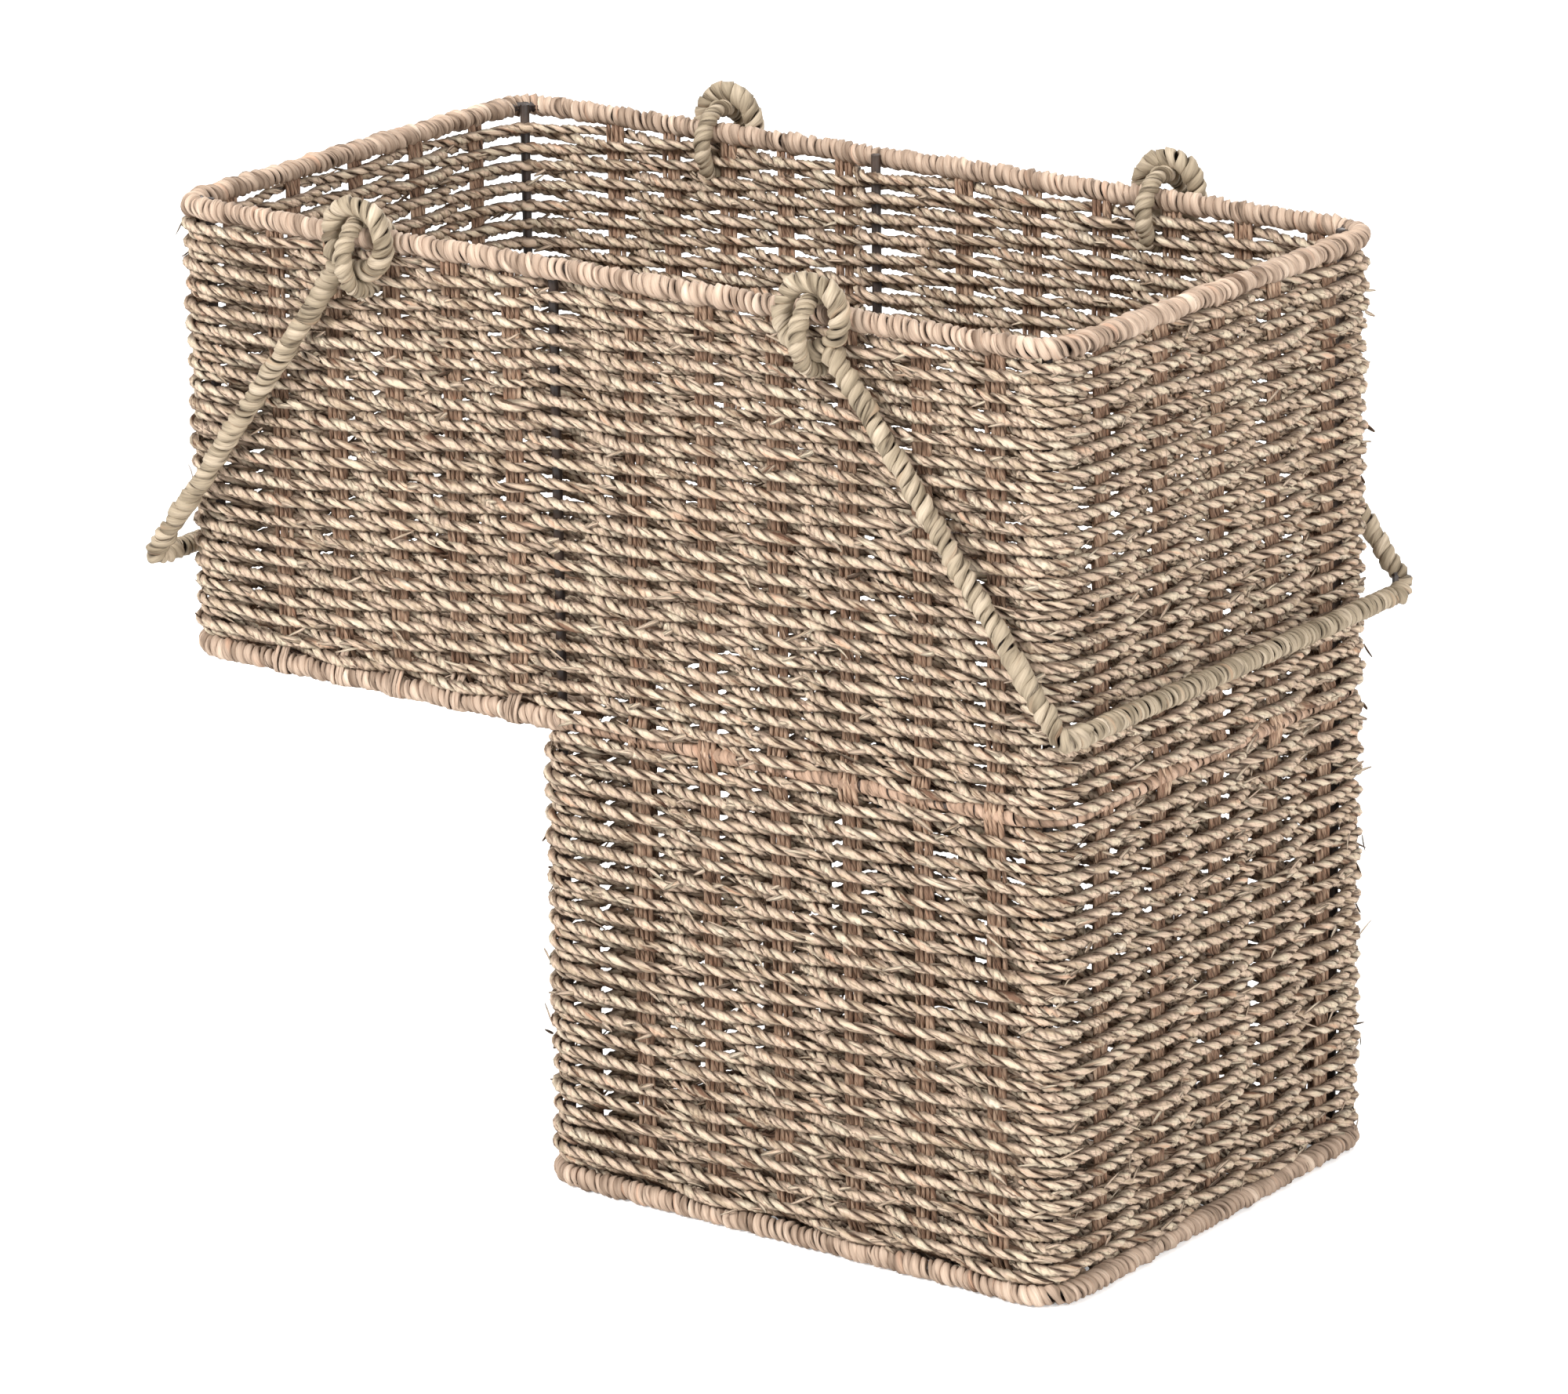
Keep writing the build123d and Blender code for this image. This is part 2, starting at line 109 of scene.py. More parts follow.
# ------------------------------------------------------------------ finishes
class NodeBoard:
    """Adds and joins the nodes of one material or world."""

    def __init__(self, owner: bpy.types.Material | bpy.types.World) -> None:
        """Start with no nodes.

        Args:
            owner: The material or world that the nodes belong to.
        """
        owner.use_nodes = True
        self.owner = owner
        self.tree = owner.node_tree
        self.tree.nodes.clear()

    def add(self, kind: str, settings: dict | None = None, **inputs: object) -> bpy.types.Node:
        """Add a node, set its properties, and join or set its inputs.

        Args:
            kind: Blender's name of the node type.
            settings: Properties of the node itself.
            inputs: Input names, with spaces as underscores, to sockets or plain values.

        Returns:
            The new node.
        """
        node = self.tree.nodes.new(kind)
        for key, value in (settings or {}).items():
            setattr(node, key, value)
        for key, value in inputs.items():
            self.feed(node.inputs[key.replace("_", " ")], value)
        return node

    def feed(self, socket: bpy.types.NodeSocket, value: object) -> None:
        """Join a socket to another, or set its plain value.

        Args:
            socket: The input that takes the value.
            value: Another node's output, or a number or colour.
        """
        if isinstance(value, bpy.types.NodeSocket):
            self.tree.links.new(value, socket)
        else:
            socket.default_value = value

    def maths(self, operation: str, *values: object) -> bpy.types.NodeSocket:
        """Join values by one arithmetic operation.

        Args:
            operation: Blender's name of the operation.
            values: Sockets or numbers, in order.

        Returns:
            The result's socket.
        """
        node = self.add("ShaderNodeMath", {"operation": operation})
        for socket, value in zip(node.inputs, values):
            self.feed(socket, value)
        return node.outputs[0]

    def times(self, value: object, factor: float) -> bpy.types.NodeSocket:
        """Value multiplied by a factor."""
        return self.maths("MULTIPLY", value, factor)

    def ramp(self, factor: object, stops: list[tuple[float, tuple]]) -> bpy.types.NodeSocket:
        """Map a factor to colours.

        Args:
            factor: Socket of the factor.
            stops: Position and colour of each stop, in order.

        Returns:
            The colour's socket.
        """
        node = self.add("ShaderNodeValToRGB", Fac=factor)
        elements = node.color_ramp.elements
        while len(elements) < len(stops):
            elements.new(1.0)
        for element, (place, colour) in zip(elements, stops):
            element.position = place
            element.color = colour
        return node.outputs["Color"]

    def rise(self, factor: object, low: float, high: float) -> bpy.types.NodeSocket:
        """Share that goes from none at a low factor to all at a high one."""
        return self.ramp(factor, [(low, BLACK), (high, WHITE)])

    def mix(
        self, factor: object, one: object, other: object, blend: str = "MIX"
    ) -> bpy.types.NodeSocket:
        """Blend two colours.

        Args:
            factor: Share of the second colour.
            one: First colour.
            other: Second colour.
            blend: Blender's name of the blend type.

        Returns:
            The blended colour's socket.
        """
        node = self.add("ShaderNodeMix", {"data_type": "RGBA", "blend_type": blend})
        self.feed(node.inputs[0], factor)
        self.feed(node.inputs[6], one)
        self.feed(node.inputs[7], other)
        return node.outputs[2]

    def noise(self, vector: object, scale: float, detail: float, rough: float = 0.5) -> bpy.types.NodeSocket:
        """Value of a noise.

        Args:
            vector: Socket of the place that it is taken at.
            scale: Its scale.
            detail: Its number of finer layers.
            rough: Weight of the finer layers.

        Returns:
            The value's socket.
        """
        node = self.add("ShaderNodeTexNoise", Vector=vector, Scale=scale, Detail=detail, Roughness=rough)
        return node.outputs[0]

    def seen(self) -> bpy.types.NodeSocket:
        """Whether the camera sees a place, directly or in gloss or glass.

        Returns:
            Socket that is one where it does, and nothing for other light.
        """
        path = self.add("ShaderNodeLightPath").outputs
        direct = self.maths("MAXIMUM", path["Is Camera Ray"], path["Is Glossy Ray"])
        return self.maths("MAXIMUM", direct, path["Is Transmission Ray"])


def srgb(red: int, green: int, blue: int) -> tuple[float, float, float, float]:
    """Linear light of a swatch.

    Args:
        red: Red of the swatch, 0 to 255.
        green: Green of the swatch.
        blue: Blue of the swatch.

    Returns:
        The colour with full alpha.
    """
    def linear(value: int) -> float:
        """Linear light of one channel."""
        share = value / 255
        return share / 12.92 if share <= 0.04045 else ((share + 0.055) / 1.055) ** 2.4

    return linear(red), linear(green), linear(blue), 1.0


@dataclass(frozen=True)
class Layer:
    """Noise laid on a strand: its changes along and round the strand, its place and its fineness."""

    along: float
    around: float
    start: float = 0.0
    detail: float = 2.0
    rough: float = 0.5

    def laid(self, board: NodeBoard, along: object, around: object) -> bpy.types.NodeSocket:
        """Value of the noise on a strand.

        Args:
            board: The material's nodes.
            along: Socket of the place along the strand.
            around: Socket of the place round it.

        Returns:
            The value's socket.
        """
        x, y = board.times(along, self.along), board.times(around, self.around)
        place = board.add("ShaderNodeCombineXYZ", X=x, Y=y, Z=self.start)
        return board.noise(place.outputs[0], 1.0, self.detail, self.rough)


@dataclass(frozen=True)
class FibreFinish:
    """Dried grass or paper twisted into a strand, with blades running along it.

    The strand's map holds centimetres along it, and turns around it with the map's join at its core. The
    attribute "aside" holds how far a point is from the strand's own row, in metres; the finish darkens by it
    as painted shade between rows, and darkens each strand's core side as painted shade too.
    """

    name: str
    palette: tuple[tuple[int, int, int], ...]
    # Dark colour of the cracks between blades, also the colour of the painted shade at the core and between
    # rows.
    crack_and_shade: tuple[int, int, int]
    accent: tuple[int, int, int]
    blades: float = 7.0
    twist: float = 0.35
    streaks: Layer = Layer(0.55, 1.0, detail=3.0, rough=0.6)
    grains: Layer = Layer(1.6, 4.5, start=3.7)
    tones: Layer = Layer(0.5, 1.7, rough=0.55)
    accents: Layer = Layer(0.33, 2.4, start=9.1, detail=1.0)
    tone_share: float = 0.72
    tone_range: tuple[float, float] = (0.34, 0.66)
    accent_share: float = 0.30
    accent_strength: float = 0.65
    accent_edge: tuple[float, float] = (-0.06, 0.04)
    seam_share: float = 0.37
    seam_strength: float = 0.75
    seam_edge: float = 0.05
    # Painted shade: from the first share of a turn to the second, away from a strand's outer side, its core
    # side darkens by core_shade towards the dark crack colour.
    core: tuple[float, float] = (0.155, 0.335)
    core_shade: float = 0.86
    # Painted shade: a point's darkening by row_shade rises between these distances from its row's middle,
    # where rows press together.
    row_edge: tuple[float, float] = (1.25 * MM, 2.1 * MM)
    row_shade: float = 0.0
    dull_grain: tuple[float, float, float, float] = (0.74, 0.73, 0.72, 1.0)
    bright_grain: tuple[float, float, float, float] = (1.02, 1.02, 1.02, 1.0)
    grain_range: tuple[float, float] = (0.3, 0.62)
    roughness: float = 0.72
    sheen: float = 0.2
    relief: float = 0.5 * MM
    relief_strength: float = 0.9
    grain_relief: float = 0.4

    def build(self) -> bpy.types.Material:
        """Make the material.

        Returns:
            The finished material.
        """
        board = NodeBoard(bpy.data.materials.new(self.name))
        place = board.add("ShaderNodeSeparateXYZ", Vector=board.add("ShaderNodeUVMap").outputs[0])
        along, around = place.outputs[0], place.outputs[1]
        lean = board.maths("ADD", around, board.times(along, self.twist))
        blade = board.times(lean, self.blades)
        streak = self.streaks.laid(board, along, blade)
        grain = self.grains.laid(board, along, blade)
        height = board.maths("ADD", streak, board.times(grain, self.grain_relief))
        bump = board.add(
            "ShaderNodeBump", Height=height, Strength=self.relief_strength, Distance=self.relief
        )
        colour = self.dry_colour(board, along, lean, streak)
        colour = self.shaded(board, colour, streak, around)
        low, high = self.grain_range
        grain_tint = board.ramp(grain, [(low, self.dull_grain), (high, self.bright_grain)])
        surface = board.add(
            "ShaderNodeBsdfPrincipled",
            Base_Color=board.mix(1.0, colour, grain_tint, "MULTIPLY"),
            Roughness=self.roughness,
            Specular_IOR_Level=self.sheen,
            Normal=bump.outputs[0],
        )
        board.add("ShaderNodeOutputMaterial", Surface=surface.outputs[0])
        return board.owner

    def dry_colour(
        self, board: NodeBoard, along: object, lean: object, streak: object
    ) -> bpy.types.NodeSocket:
        """Colour of the blades, with some of them in the accent colour.

        Args:
            board: The material's nodes.
            along: Socket of the place along the strand.
            lean: Socket of the place round it, which the twist carries on.
            streak: Socket of the streaks' noise.

        Returns:
            The colour's socket.
        """
        tone = board.times(self.tones.laid(board, along, lean), self.tone_share)
        tone = board.maths("ADD", tone, board.times(streak, 1 - self.tone_share))
        low, high = self.tone_range
        places = np.linspace(low, high, len(self.palette))
        colour = board.ramp(tone, [(p, srgb(*swatch)) for p, swatch in zip(places, self.palette)])
        low, high = (1 - self.accent_share + edge for edge in self.accent_edge)
        rare = board.rise(self.accents.laid(board, along, lean), low, high)
        return board.mix(board.times(rare, self.accent_strength), colour, srgb(*self.accent))

    def shaded(
        self, board: NodeBoard, colour: object, streak: object, around: object
    ) -> bpy.types.NodeSocket:
        """Colour with the dark cracks between blades, and with painted shade at the core and between rows.

        Args:
            board: The material's nodes.
            colour: Socket of the colour.
            streak: Socket of the streaks' noise.
            around: Socket of the place round the strand.

        Returns:
            The darkened colour's socket.
        """
        crack_and_shade = srgb(*self.crack_and_shade)
        low, high = self.seam_share - self.seam_edge, self.seam_share + self.seam_edge
        crack = board.ramp(streak, [(low, WHITE), (high, BLACK)])
        from_seam = board.maths("ABSOLUTE", board.maths("SUBTRACT", around, 0.5))
        # Painted shade at the strand's core side and in the crevices between rows, after the real cracks.
        aside = board.add("ShaderNodeAttribute", {"attribute_name": "aside"}).outputs["Fac"]
        near, far = self.row_edge
        between = board.rise(board.times(aside, 1 / far), near / far, 1.0)
        shades = (
            (crack, self.seam_strength),
            (board.rise(from_seam, *self.core), self.core_shade),
            (between, self.row_shade),
        )
        for share, strength in shades:
            colour = board.mix(board.times(share, strength), colour, crack_and_shade)
        return colour


GRASS = FibreFinish(
    "seagrass",
    ((122, 92, 73), (186, 166, 141), (209, 184, 162), (211, 195, 169), (217, 200, 179)),
    crack_and_shade=(50, 24, 12),
    accent=(211, 169, 140),
    # Painted shade where rows of rope meet.
    row_shade=0.6,
)
PALE_RUSH = FibreFinish(
    "pale_rush",
    ((116, 95, 79), (154, 133, 115), (177, 154, 135), (194, 171, 151), (212, 191, 171)),
    crack_and_shade=(44, 26, 15),
    accent=(204, 164, 138),
    blades=5.0,
    twist=0.2,
)
HANDLE_RUSH = FibreFinish(
    "handle_rush",
    ((104, 90, 72), (142, 128, 107), (162, 147, 125), (180, 164, 142), (200, 184, 162)),
    crack_and_shade=(40, 25, 14),
    accent=(180, 150, 122),
    blades=5.0,
    twist=0.2,
)
PAPER_CORD = FibreFinish(
    "paper_cord",
    # The cord's own brown, darkened somewhat as painted shade for stakes that lie deep between the rows.
    ((92, 68, 52), (130, 101, 82), (156, 126, 104), (180, 151, 127), (200, 173, 148)),
    crack_and_shade=(36, 20, 12),
    accent=(162, 118, 93),
    core_shade=0.0,
    seam_share=0.42,
    blades=6.0,
    twist=0.6,
)
BOUND_STRIP = FibreFinish(
    "bound_strip",
    ((112, 88, 72), (150, 124, 104), (176, 146, 124), (192, 162, 140), (206, 178, 156)),
    crack_and_shade=(44, 26, 15),
    accent=(188, 148, 124),
    blades=4.0,
    core_shade=0.4,
)


@dataclass(frozen=True)
class WireFinish:
    """Thin brown lacquer on steel wire, with rubbed spots."""

    name: str = "lacquered_wire"
    lacquer: tuple[int, int, int] = (36, 24, 18)
    rubbed: tuple[int, int, int] = (66, 50, 40)
    rub_range: tuple[float, float] = (0.45, 0.68)
    smooth: tuple[float, float, float, float] = (0.42, 0.42, 0.42, 1.0)
    worn: tuple[float, float, float, float] = (0.6, 0.6, 0.6, 1.0)
    wear_range: tuple[float, float] = (0.4, 0.7)
    patches: float = 90.0
    pits: float = 700.0
    relief: float = 0.2 * MM
    relief_strength: float = 0.3

    def build(self) -> bpy.types.Material:
        """Make the material.

        Returns:
            The finished material.
        """
        board = NodeBoard(bpy.data.materials.new(self.name))
        place = board.add("ShaderNodeTexCoord").outputs["Object"]
        patch = board.noise(place, self.patches, detail=4.0)
        pit = board.noise(place, self.pits, detail=3.0)
        bump = board.add("ShaderNodeBump", Height=pit, Strength=self.relief_strength, Distance=self.relief)
        colours = (srgb(*self.lacquer), srgb(*self.rubbed))
        surface = board.add(
            "ShaderNodeBsdfPrincipled",
            Base_Color=board.ramp(patch, list(zip(self.rub_range, colours))),
            Roughness=board.ramp(patch, list(zip(self.wear_range, (self.smooth, self.worn)))),
            Normal=bump.outputs[0],
        )
        board.add("ShaderNodeOutputMaterial", Surface=surface.outputs[0])
        return board.owner


@dataclass(frozen=True)
class StudioFinish:
    """Paper sweep that looks white and keeps the object's soft shadow."""

    name: str = "studio_paper"
    tint: float = 0.9
    roughness: float = 0.9
    glow: float = 0.34

    def build(self) -> bpy.types.Material:
        """Make the material.

        Returns:
            The finished material.
        """
        board = NodeBoard(bpy.data.materials.new(self.name))
        colour = (self.tint, self.tint, self.tint, 1.0)
        paper = board.add("ShaderNodeBsdfPrincipled", Base_Color=colour, Roughness=self.roughness)
        glow = board.add("ShaderNodeEmission", Color=WHITE, Strength=board.times(board.seen(), self.glow))
        both = board.add("ShaderNodeAddShader")
        board.feed(both.inputs[0], paper.outputs[0])
        board.feed(both.inputs[1], glow.outputs[0])
        board.add("ShaderNodeOutputMaterial", Surface=both.outputs[0])
        return board.owner


# ------------------------------------------------------------------ tracks and strands
def unit(rows: np.ndarray) -> np.ndarray:
    """Rows scaled to length one."""
    return rows / np.maximum(np.linalg.norm(rows, axis=1, keepdims=True), 1e-12)


def smooth_noise(
    rng: np.random.Generator, stations: np.ndarray, cell: float, total: float, closed: bool
) -> np.ndarray:
    """Smooth random values of about -1 to 1 along a line.

    Args:
        rng: Source of the random values.
        stations: Distance of each point along the line.
        cell: Distance over which the value changes.
        total: Length of the line.
        closed: Whether the value at the end meets the value at the start.

    Returns:
        One value for each station.
    """
    count = max(3, int(round(total / cell)))
    knots = rng.uniform(-1, 1, count + 1)
    if closed:
        knots[-1] = knots[0]
    where = np.clip(stations / total, 0, 1) * count
    low = np.minimum(where.astype(int), count - 1)
    share = where - low
    share = share * share * (3 - 2 * share)
    return knots[low] * (1 - share) + knots[low + 1] * share


def eased(here: np.ndarray, places: np.ndarray, values: np.ndarray) -> np.ndarray:
    """Values that run smoothly from each place to the next.

    Args:
        here: Distances to answer for.
        places: Distances at which the values are given, in order.
        values: The value at each place.

    Returns:
        One value for each distance.
    """
    index = np.clip(np.searchsorted(places, here, side="right") - 1, 0, len(places) - 2)
    share = np.clip((here - places[index]) / (places[index + 1] - places[index]), 0, 1)
    share = (1 - np.cos(math.pi * share)) / 2
    return values[index] * (1 - share) + values[index + 1] * share


@dataclass(frozen=True)
class Track:
    """Line through space with an outward direction at every point."""

    points: np.ndarray
    out: np.ndarray
    closed: bool = False

    def stations(self) -> np.ndarray:
        """Distance of each point along the line."""
        steps = np.linalg.norm(np.diff(self.points, axis=0), axis=1)
        return np.concatenate([[0.0], np.cumsum(steps)])

    def length(self) -> float:
        """Whole length, with the closing step of a loop.

        Returns:
            The length.
        """
        last = self.stations()[-1]
        if self.closed:
            last += float(np.linalg.norm(self.points[0] - self.points[-1]))
        return float(last)

    def along(self) -> np.ndarray:
        """Direction of travel at every point.

        Returns:
            Rows of length one.
        """
        if self.closed:
            return unit(np.roll(self.points, -1, axis=0) - np.roll(self.points, 1, axis=0))
        return unit(np.gradient(self.points, axis=0))

    def frames(self) -> tuple[np.ndarray, np.ndarray, np.ndarray]:
        """Directions at every point, square to each other.

        Returns:
            The travel, outward and sideways directions.
        """
        travel = self.along()
        outward = unit(self.out - travel * np.sum(self.out * travel, axis=1, keepdims=True))
        return travel, outward, np.cross(travel, outward)

    def resampled(self, step: float) -> Track:
        """Same line with points at an even distance.

        Args:
            step: Distance between points.

        Returns:
            The new track.
        """
        points, out = self.points, self.out
        if self.closed:
            points, out = np.vstack([points, points[:1]]), np.vstack([out, out[:1]])
        line = Track(points, out)
        here, total = line.stations(), line.length()
        count = max(4, int(round(total / step)))
        wanted = np.linspace(0, total, count + 1)
        if self.closed:
            wanted = wanted[:-1]
        place = np.column_stack([np.interp(wanted, here, points[:, i]) for i in range(3)])
        facing = np.column_stack([np.interp(wanted, here, out[:, i]) for i in range(3)])
        return Track(place, unit(facing), self.closed)


@dataclass(frozen=True)
class Strand:
    """One ply or strip: how far it lies from the track, its own half sizes and its ridges."""

    reach: float
    thick: float
    wide: float
    sides: int = 8
    ridges: float = 0.0
    ridge_count: int = 3
    ridge_drift: float = 14 * MM


class MeshMaker:
    """Gathers swept strands into one mesh with a map along every strand."""

    def __init__(self) -> None:
        """Start with nothing."""
        self.points: list[np.ndarray] = []
        self.aside: list[np.ndarray] = []
        self.maps: list[np.ndarray] = []
        self.quads: list[np.ndarray] = []
        self.caps: list[tuple[list[int], float]] = []
        self.total = 0

    def sweep(
        self, track: Track, strand: Strand, phase: np.ndarray, scale: np.ndarray, offset: float
    ) -> None:
        """Wind one strand round a track.

        Args:
            track: The line that the strand goes round.
            strand: Section and reach of the strand.
            phase: Angle round the track at every point, from its outward direction.
            scale: Factor on the section's size at every point.
            offset: Start of the map along the strand, in centimetres.
        """
        _, outward, sideways = track.frames()
        radial = np.cos(phase)[:, None] * outward + np.sin(phase)[:, None] * sideways
        own = Track(track.points + strand.reach * radial, radial, track.closed)
        _, own_out, own_side = own.frames()
        angles = np.linspace(0, TURN, strand.sides, endpoint=False) + math.pi
        drift = np.linspace(0, track.length() / strand.ridge_drift, len(own.points))[:, None]
        lobes = 1 + strand.ridges * np.cos(strand.ridge_count * angles[None, :] + drift)
        size = (scale[:, None] * lobes)[:, :, None]
        rings = (
            own.points[:, None, :]
            + size * strand.thick * np.cos(angles)[None, :, None] * own_out[:, None, :]
            + size * strand.wide * np.sin(angles)[None, :, None] * own_side[:, None, :]
        )
        # The sideways distance from the track goes into the attribute aside, which the grass finish uses for
        # painted shade between rows.
        away = np.einsum("ijk,ik->ij", rings - track.points[:, None, :], sideways)
        self.aside.append(np.abs(away).ravel())
        self.tube(rings, track.closed, own.stations() * 100 + offset)

    def sweep_plain(self, track: Track, strand: Strand, scale: np.ndarray, rng: np.random.Generator) -> None:
        """Sweep a cord that lies on its track, with its map started anywhere.

        Args:
            track: Centre line of the cord.
            strand: Its section.
            scale: Factor on the section's size at every point.
            rng: Source of the map's start.
        """
        self.sweep(track, strand, np.zeros(len(scale)), scale, rng.uniform(0, MAP_SPAN))

    def tube(self, rings: np.ndarray, closed: bool, along: np.ndarray) -> None:
        """Add a tube of rings, joined in order.

        Args:
            rings: Points of every ring.
            closed: Whether the last ring joins the first.
            along: Map value along the tube, for every ring.
        """
        count, sides, _ = rings.shape
        base = self.total
        self.points.append(rings.reshape(-1, 3))
        self.total += count * sides
        spans = count if closed else count - 1
        row = np.arange(spans)[:, None]
        col = np.arange(sides)[None, :]
        following, beside = (row + 1) % count, (col + 1) % sides
        corners = [
            row * sides + col, row * sides + beside, following * sides + beside, following * sides + col
        ]
        self.quads.append(base + np.stack(corners, -1).reshape(-1, 4))
        here = np.broadcast_to(along[:spans, None], (spans, sides))
        ahead = here + float(np.mean(np.diff(along)))
        low = np.broadcast_to(col / sides, (spans, sides))
        high = low + 1 / sides
        places = [np.stack(pair, -1) for pair in ((here, low), (here, high), (ahead, high), (ahead, low))]
        self.maps.append(np.stack(places, 2).reshape(-1, 2))
        if not closed:
            last = base + (count - 1) * sides
            self.caps.append(([base + i for i in reversed(range(sides))], float(along[0])))
            self.caps.append(([last + i for i in range(sides)], float(along[-1])))

    def press(self, ground: float) -> None:
        """Flatten the undersides of the strands, as where they rest on a level surface.

        Args:
            ground: Height of the surface.
        """
        lowest = ground + REST_GAP
        for points in self.points:
            above = (points[:, 2] - lowest) / REST_SOFT
            above = np.where(above < 1, np.exp(np.minimum(above, 1) - 1), above)
            points[:, 2] = lowest + REST_SOFT * above

    def piece(self, name: str, material: bpy.types.Material) -> bpy.types.Object:
        """Make the gathered strands one object.

        Args:
            name: The piece's name.
            material: Its finish.

        Returns:
            The new object, at the origin.
        """
        points = np.vstack(self.points)
        quads = np.vstack(self.quads)
        sides = [len(loop) for loop, _ in self.caps]
        loops = np.concatenate([quads.ravel(), np.array([i for loop, _ in self.caps for i in loop], int)])
        totals = np.concatenate([np.full(len(quads), 4), np.array(sides, int)])
        starts = np.concatenate([[0], np.cumsum(totals)[:-1]])
        mesh = bpy.data.meshes.new(name)
        mesh.vertices.add(len(points))
        mesh.vertices.foreach_set("co", points.astype(np.float32).ravel())
        mesh.loops.add(len(loops))
        mesh.loops.foreach_set("vertex_index", loops.astype(np.int32))
        mesh.polygons.add(len(totals))
        mesh.polygons.foreach_set("loop_start", starts.astype(np.int32))
        mesh.polygons.foreach_set("loop_total", totals.astype(np.int32))
        mesh.update(calc_edges=True)
        mesh.validate()
        cap_map = [(along, 0.5) for loop, along in self.caps for _ in loop]
        uv = np.vstack(self.maps + ([np.array(cap_map)] if cap_map else []))
        mesh.uv_layers.new(name="UVMap").data.foreach_set("uv", uv.astype(np.float32).ravel())
        aside = mesh.attributes.new("aside", "FLOAT", "POINT")
        aside.data.foreach_set("value", np.concatenate(self.aside).astype(np.float32))
        mesh.polygons.foreach_set("use_smooth", np.ones(len(totals), bool))
        mesh.materials.append(material)
        made = bpy.data.objects.new(name, mesh)
        bpy.context.scene.collection.objects.link(made)
        return made


@dataclass(frozen=True)
class Rope:
    """Two plies of dried grass twisted together."""

    ply: Strand = Strand(reach=1.05 * MM, thick=1.4 * MM, wide=1.85 * MM, sides=6, ridges=0.12)
    turn: float = 15.5 * MM
    turn_spread: tuple[float, float] = (0.88, 1.14)
    slack: float = 1.15
    slack_cell: float = 22 * MM
    fullness: float = 0.28
    body_cell: float = 70 * MM
    ply_cell: float = 9 * MM

    def lay(self, maker: MeshMaker, track: Track, rng: np.random.Generator) -> None:
        """Lay both plies along a track.

        Args:
            maker: The mesh that takes them.
            track: Centre line of the rope.
            rng: Source of the small differences.
        """
        here, total, closed = track.stations(), track.length(), track.closed
        turns = round(total / (self.turn * rng.uniform(*self.turn_spread)))
        angle = here / total * turns * TURN + rng.uniform(0, TURN)
        angle = angle + self.slack * smooth_noise(rng, here, self.slack_cell, total, closed)
        body = 1 + 0.5 * self.fullness * smooth_noise(rng, here, self.body_cell, total, closed)
        for half in (0.0, math.pi):
            scale = body + self.fullness * smooth_noise(rng, here, self.ply_cell, total, closed)
            maker.sweep(track, self.ply, angle + half, scale, rng.uniform(0, MAP_SPAN))


@dataclass(frozen=True)
class Wrap:
    """Strands wound closely round a wire. The cells are shares of the pitch."""

    strand: Strand
    pitch: float
    per_turn: int
    unevenness: float
    starts: int = 1
    sway: float = 0.8
    sway_cell: float = 1.1
    scale_cell: float = 0.3
    lift: float = 0.3 * MM
    lift_cell: float = 0.6

    def wind(self, maker: MeshMaker, track: Track, rng: np.random.Generator) -> None:
        """Wind the strands along a track.

        Args:
            maker: The mesh that takes them.
            track: Centre line of the wire.
            rng: Source of the small differences.
        """
        line = track.resampled(self.pitch / self.per_turn)
        here, total, closed = line.stations(), line.length(), line.closed
        turns = max(1, round(total / self.pitch))
        sway = smooth_noise(rng, here, self.pitch * self.sway_cell, total, closed) * self.sway / self.starts
        for start in range(self.starts):
            phase = here / total * turns * TURN + sway + start * TURN / self.starts
            rough = smooth_noise(rng, here, self.pitch * self.scale_cell, total, closed)
            lift = self.lift * smooth_noise(rng, here, self.pitch * self.lift_cell, total, closed)
            own = Track(line.points + lift[:, None] * line.frames()[1], line.out, closed)
            maker.sweep(own, self.strand, phase, 1 + self.unevenness * rough, rng.uniform(0, MAP_SPAN))


def straight(start: Vector, end: Vector, out: Vector, step: float = 2 * MM) -> Track:
    """Straight track between two points.

    Args:
        start: Its first point.
        end: Its last point.
        out: Outward direction.
        step: Distance between points.

    Returns:
        The track.
    """
    a, b = np.array(start, float), np.array(end, float)
    count = max(2, int(np.linalg.norm(b - a) / step))
    share = np.linspace(0, 1, count)[:, None]
    return Track(a + (b - a) * share, np.tile(np.array(out, float), (count, 1)))


def circle(centre: Vector, first: Vector, second: Vector, radius: float, count: int = 72) -> Track:
    """Round closed track whose outward direction points away from its centre.

    Args:
        centre: Middle of the circle.
        first: Direction from the middle to the first point.
        second: Direction from the middle to the point a quarter turn on.
        radius: Its radius.
        count: Number of points.

    Returns:
        The track.
    """
    angle = np.linspace(0, TURN, count, endpoint=False)[:, None]
    out = np.cos(angle) * np.array(first, float) + np.sin(angle) * np.array(second, float)
    return Track(np.array(centre, float) + radius * out, out, True)


def rounded(corners: list[np.ndarray], bend: float, out: np.ndarray) -> Track:
    """Open line through corners, with each corner rounded.

    Args:
        corners: Ends and corners of the line.
        bend: Length taken off each side of a corner.
        out: A direction that is square to the whole line.

    Returns:
        The track.
    """
    points = [corners[0]]
    for before, corner, after in zip(corners, corners[1:], corners[2:]):
        back, ahead = before - corner, after - corner
        cut = min(bend, np.linalg.norm(back) * BEND_LIMIT, np.linalg.norm(ahead) * BEND_LIMIT)
        a = corner + back / np.linalg.norm(back) * cut
        b = corner + ahead / np.linalg.norm(ahead) * cut
        for share in np.linspace(0, 1, BEND_POINTS):
            points.append(a * (1 - share) ** 2 + corner * 2 * share * (1 - share) + b * share**2)
    points.append(corners[-1])
    line = np.array(points)
    return Track(line, np.tile(out, (len(line), 1)))


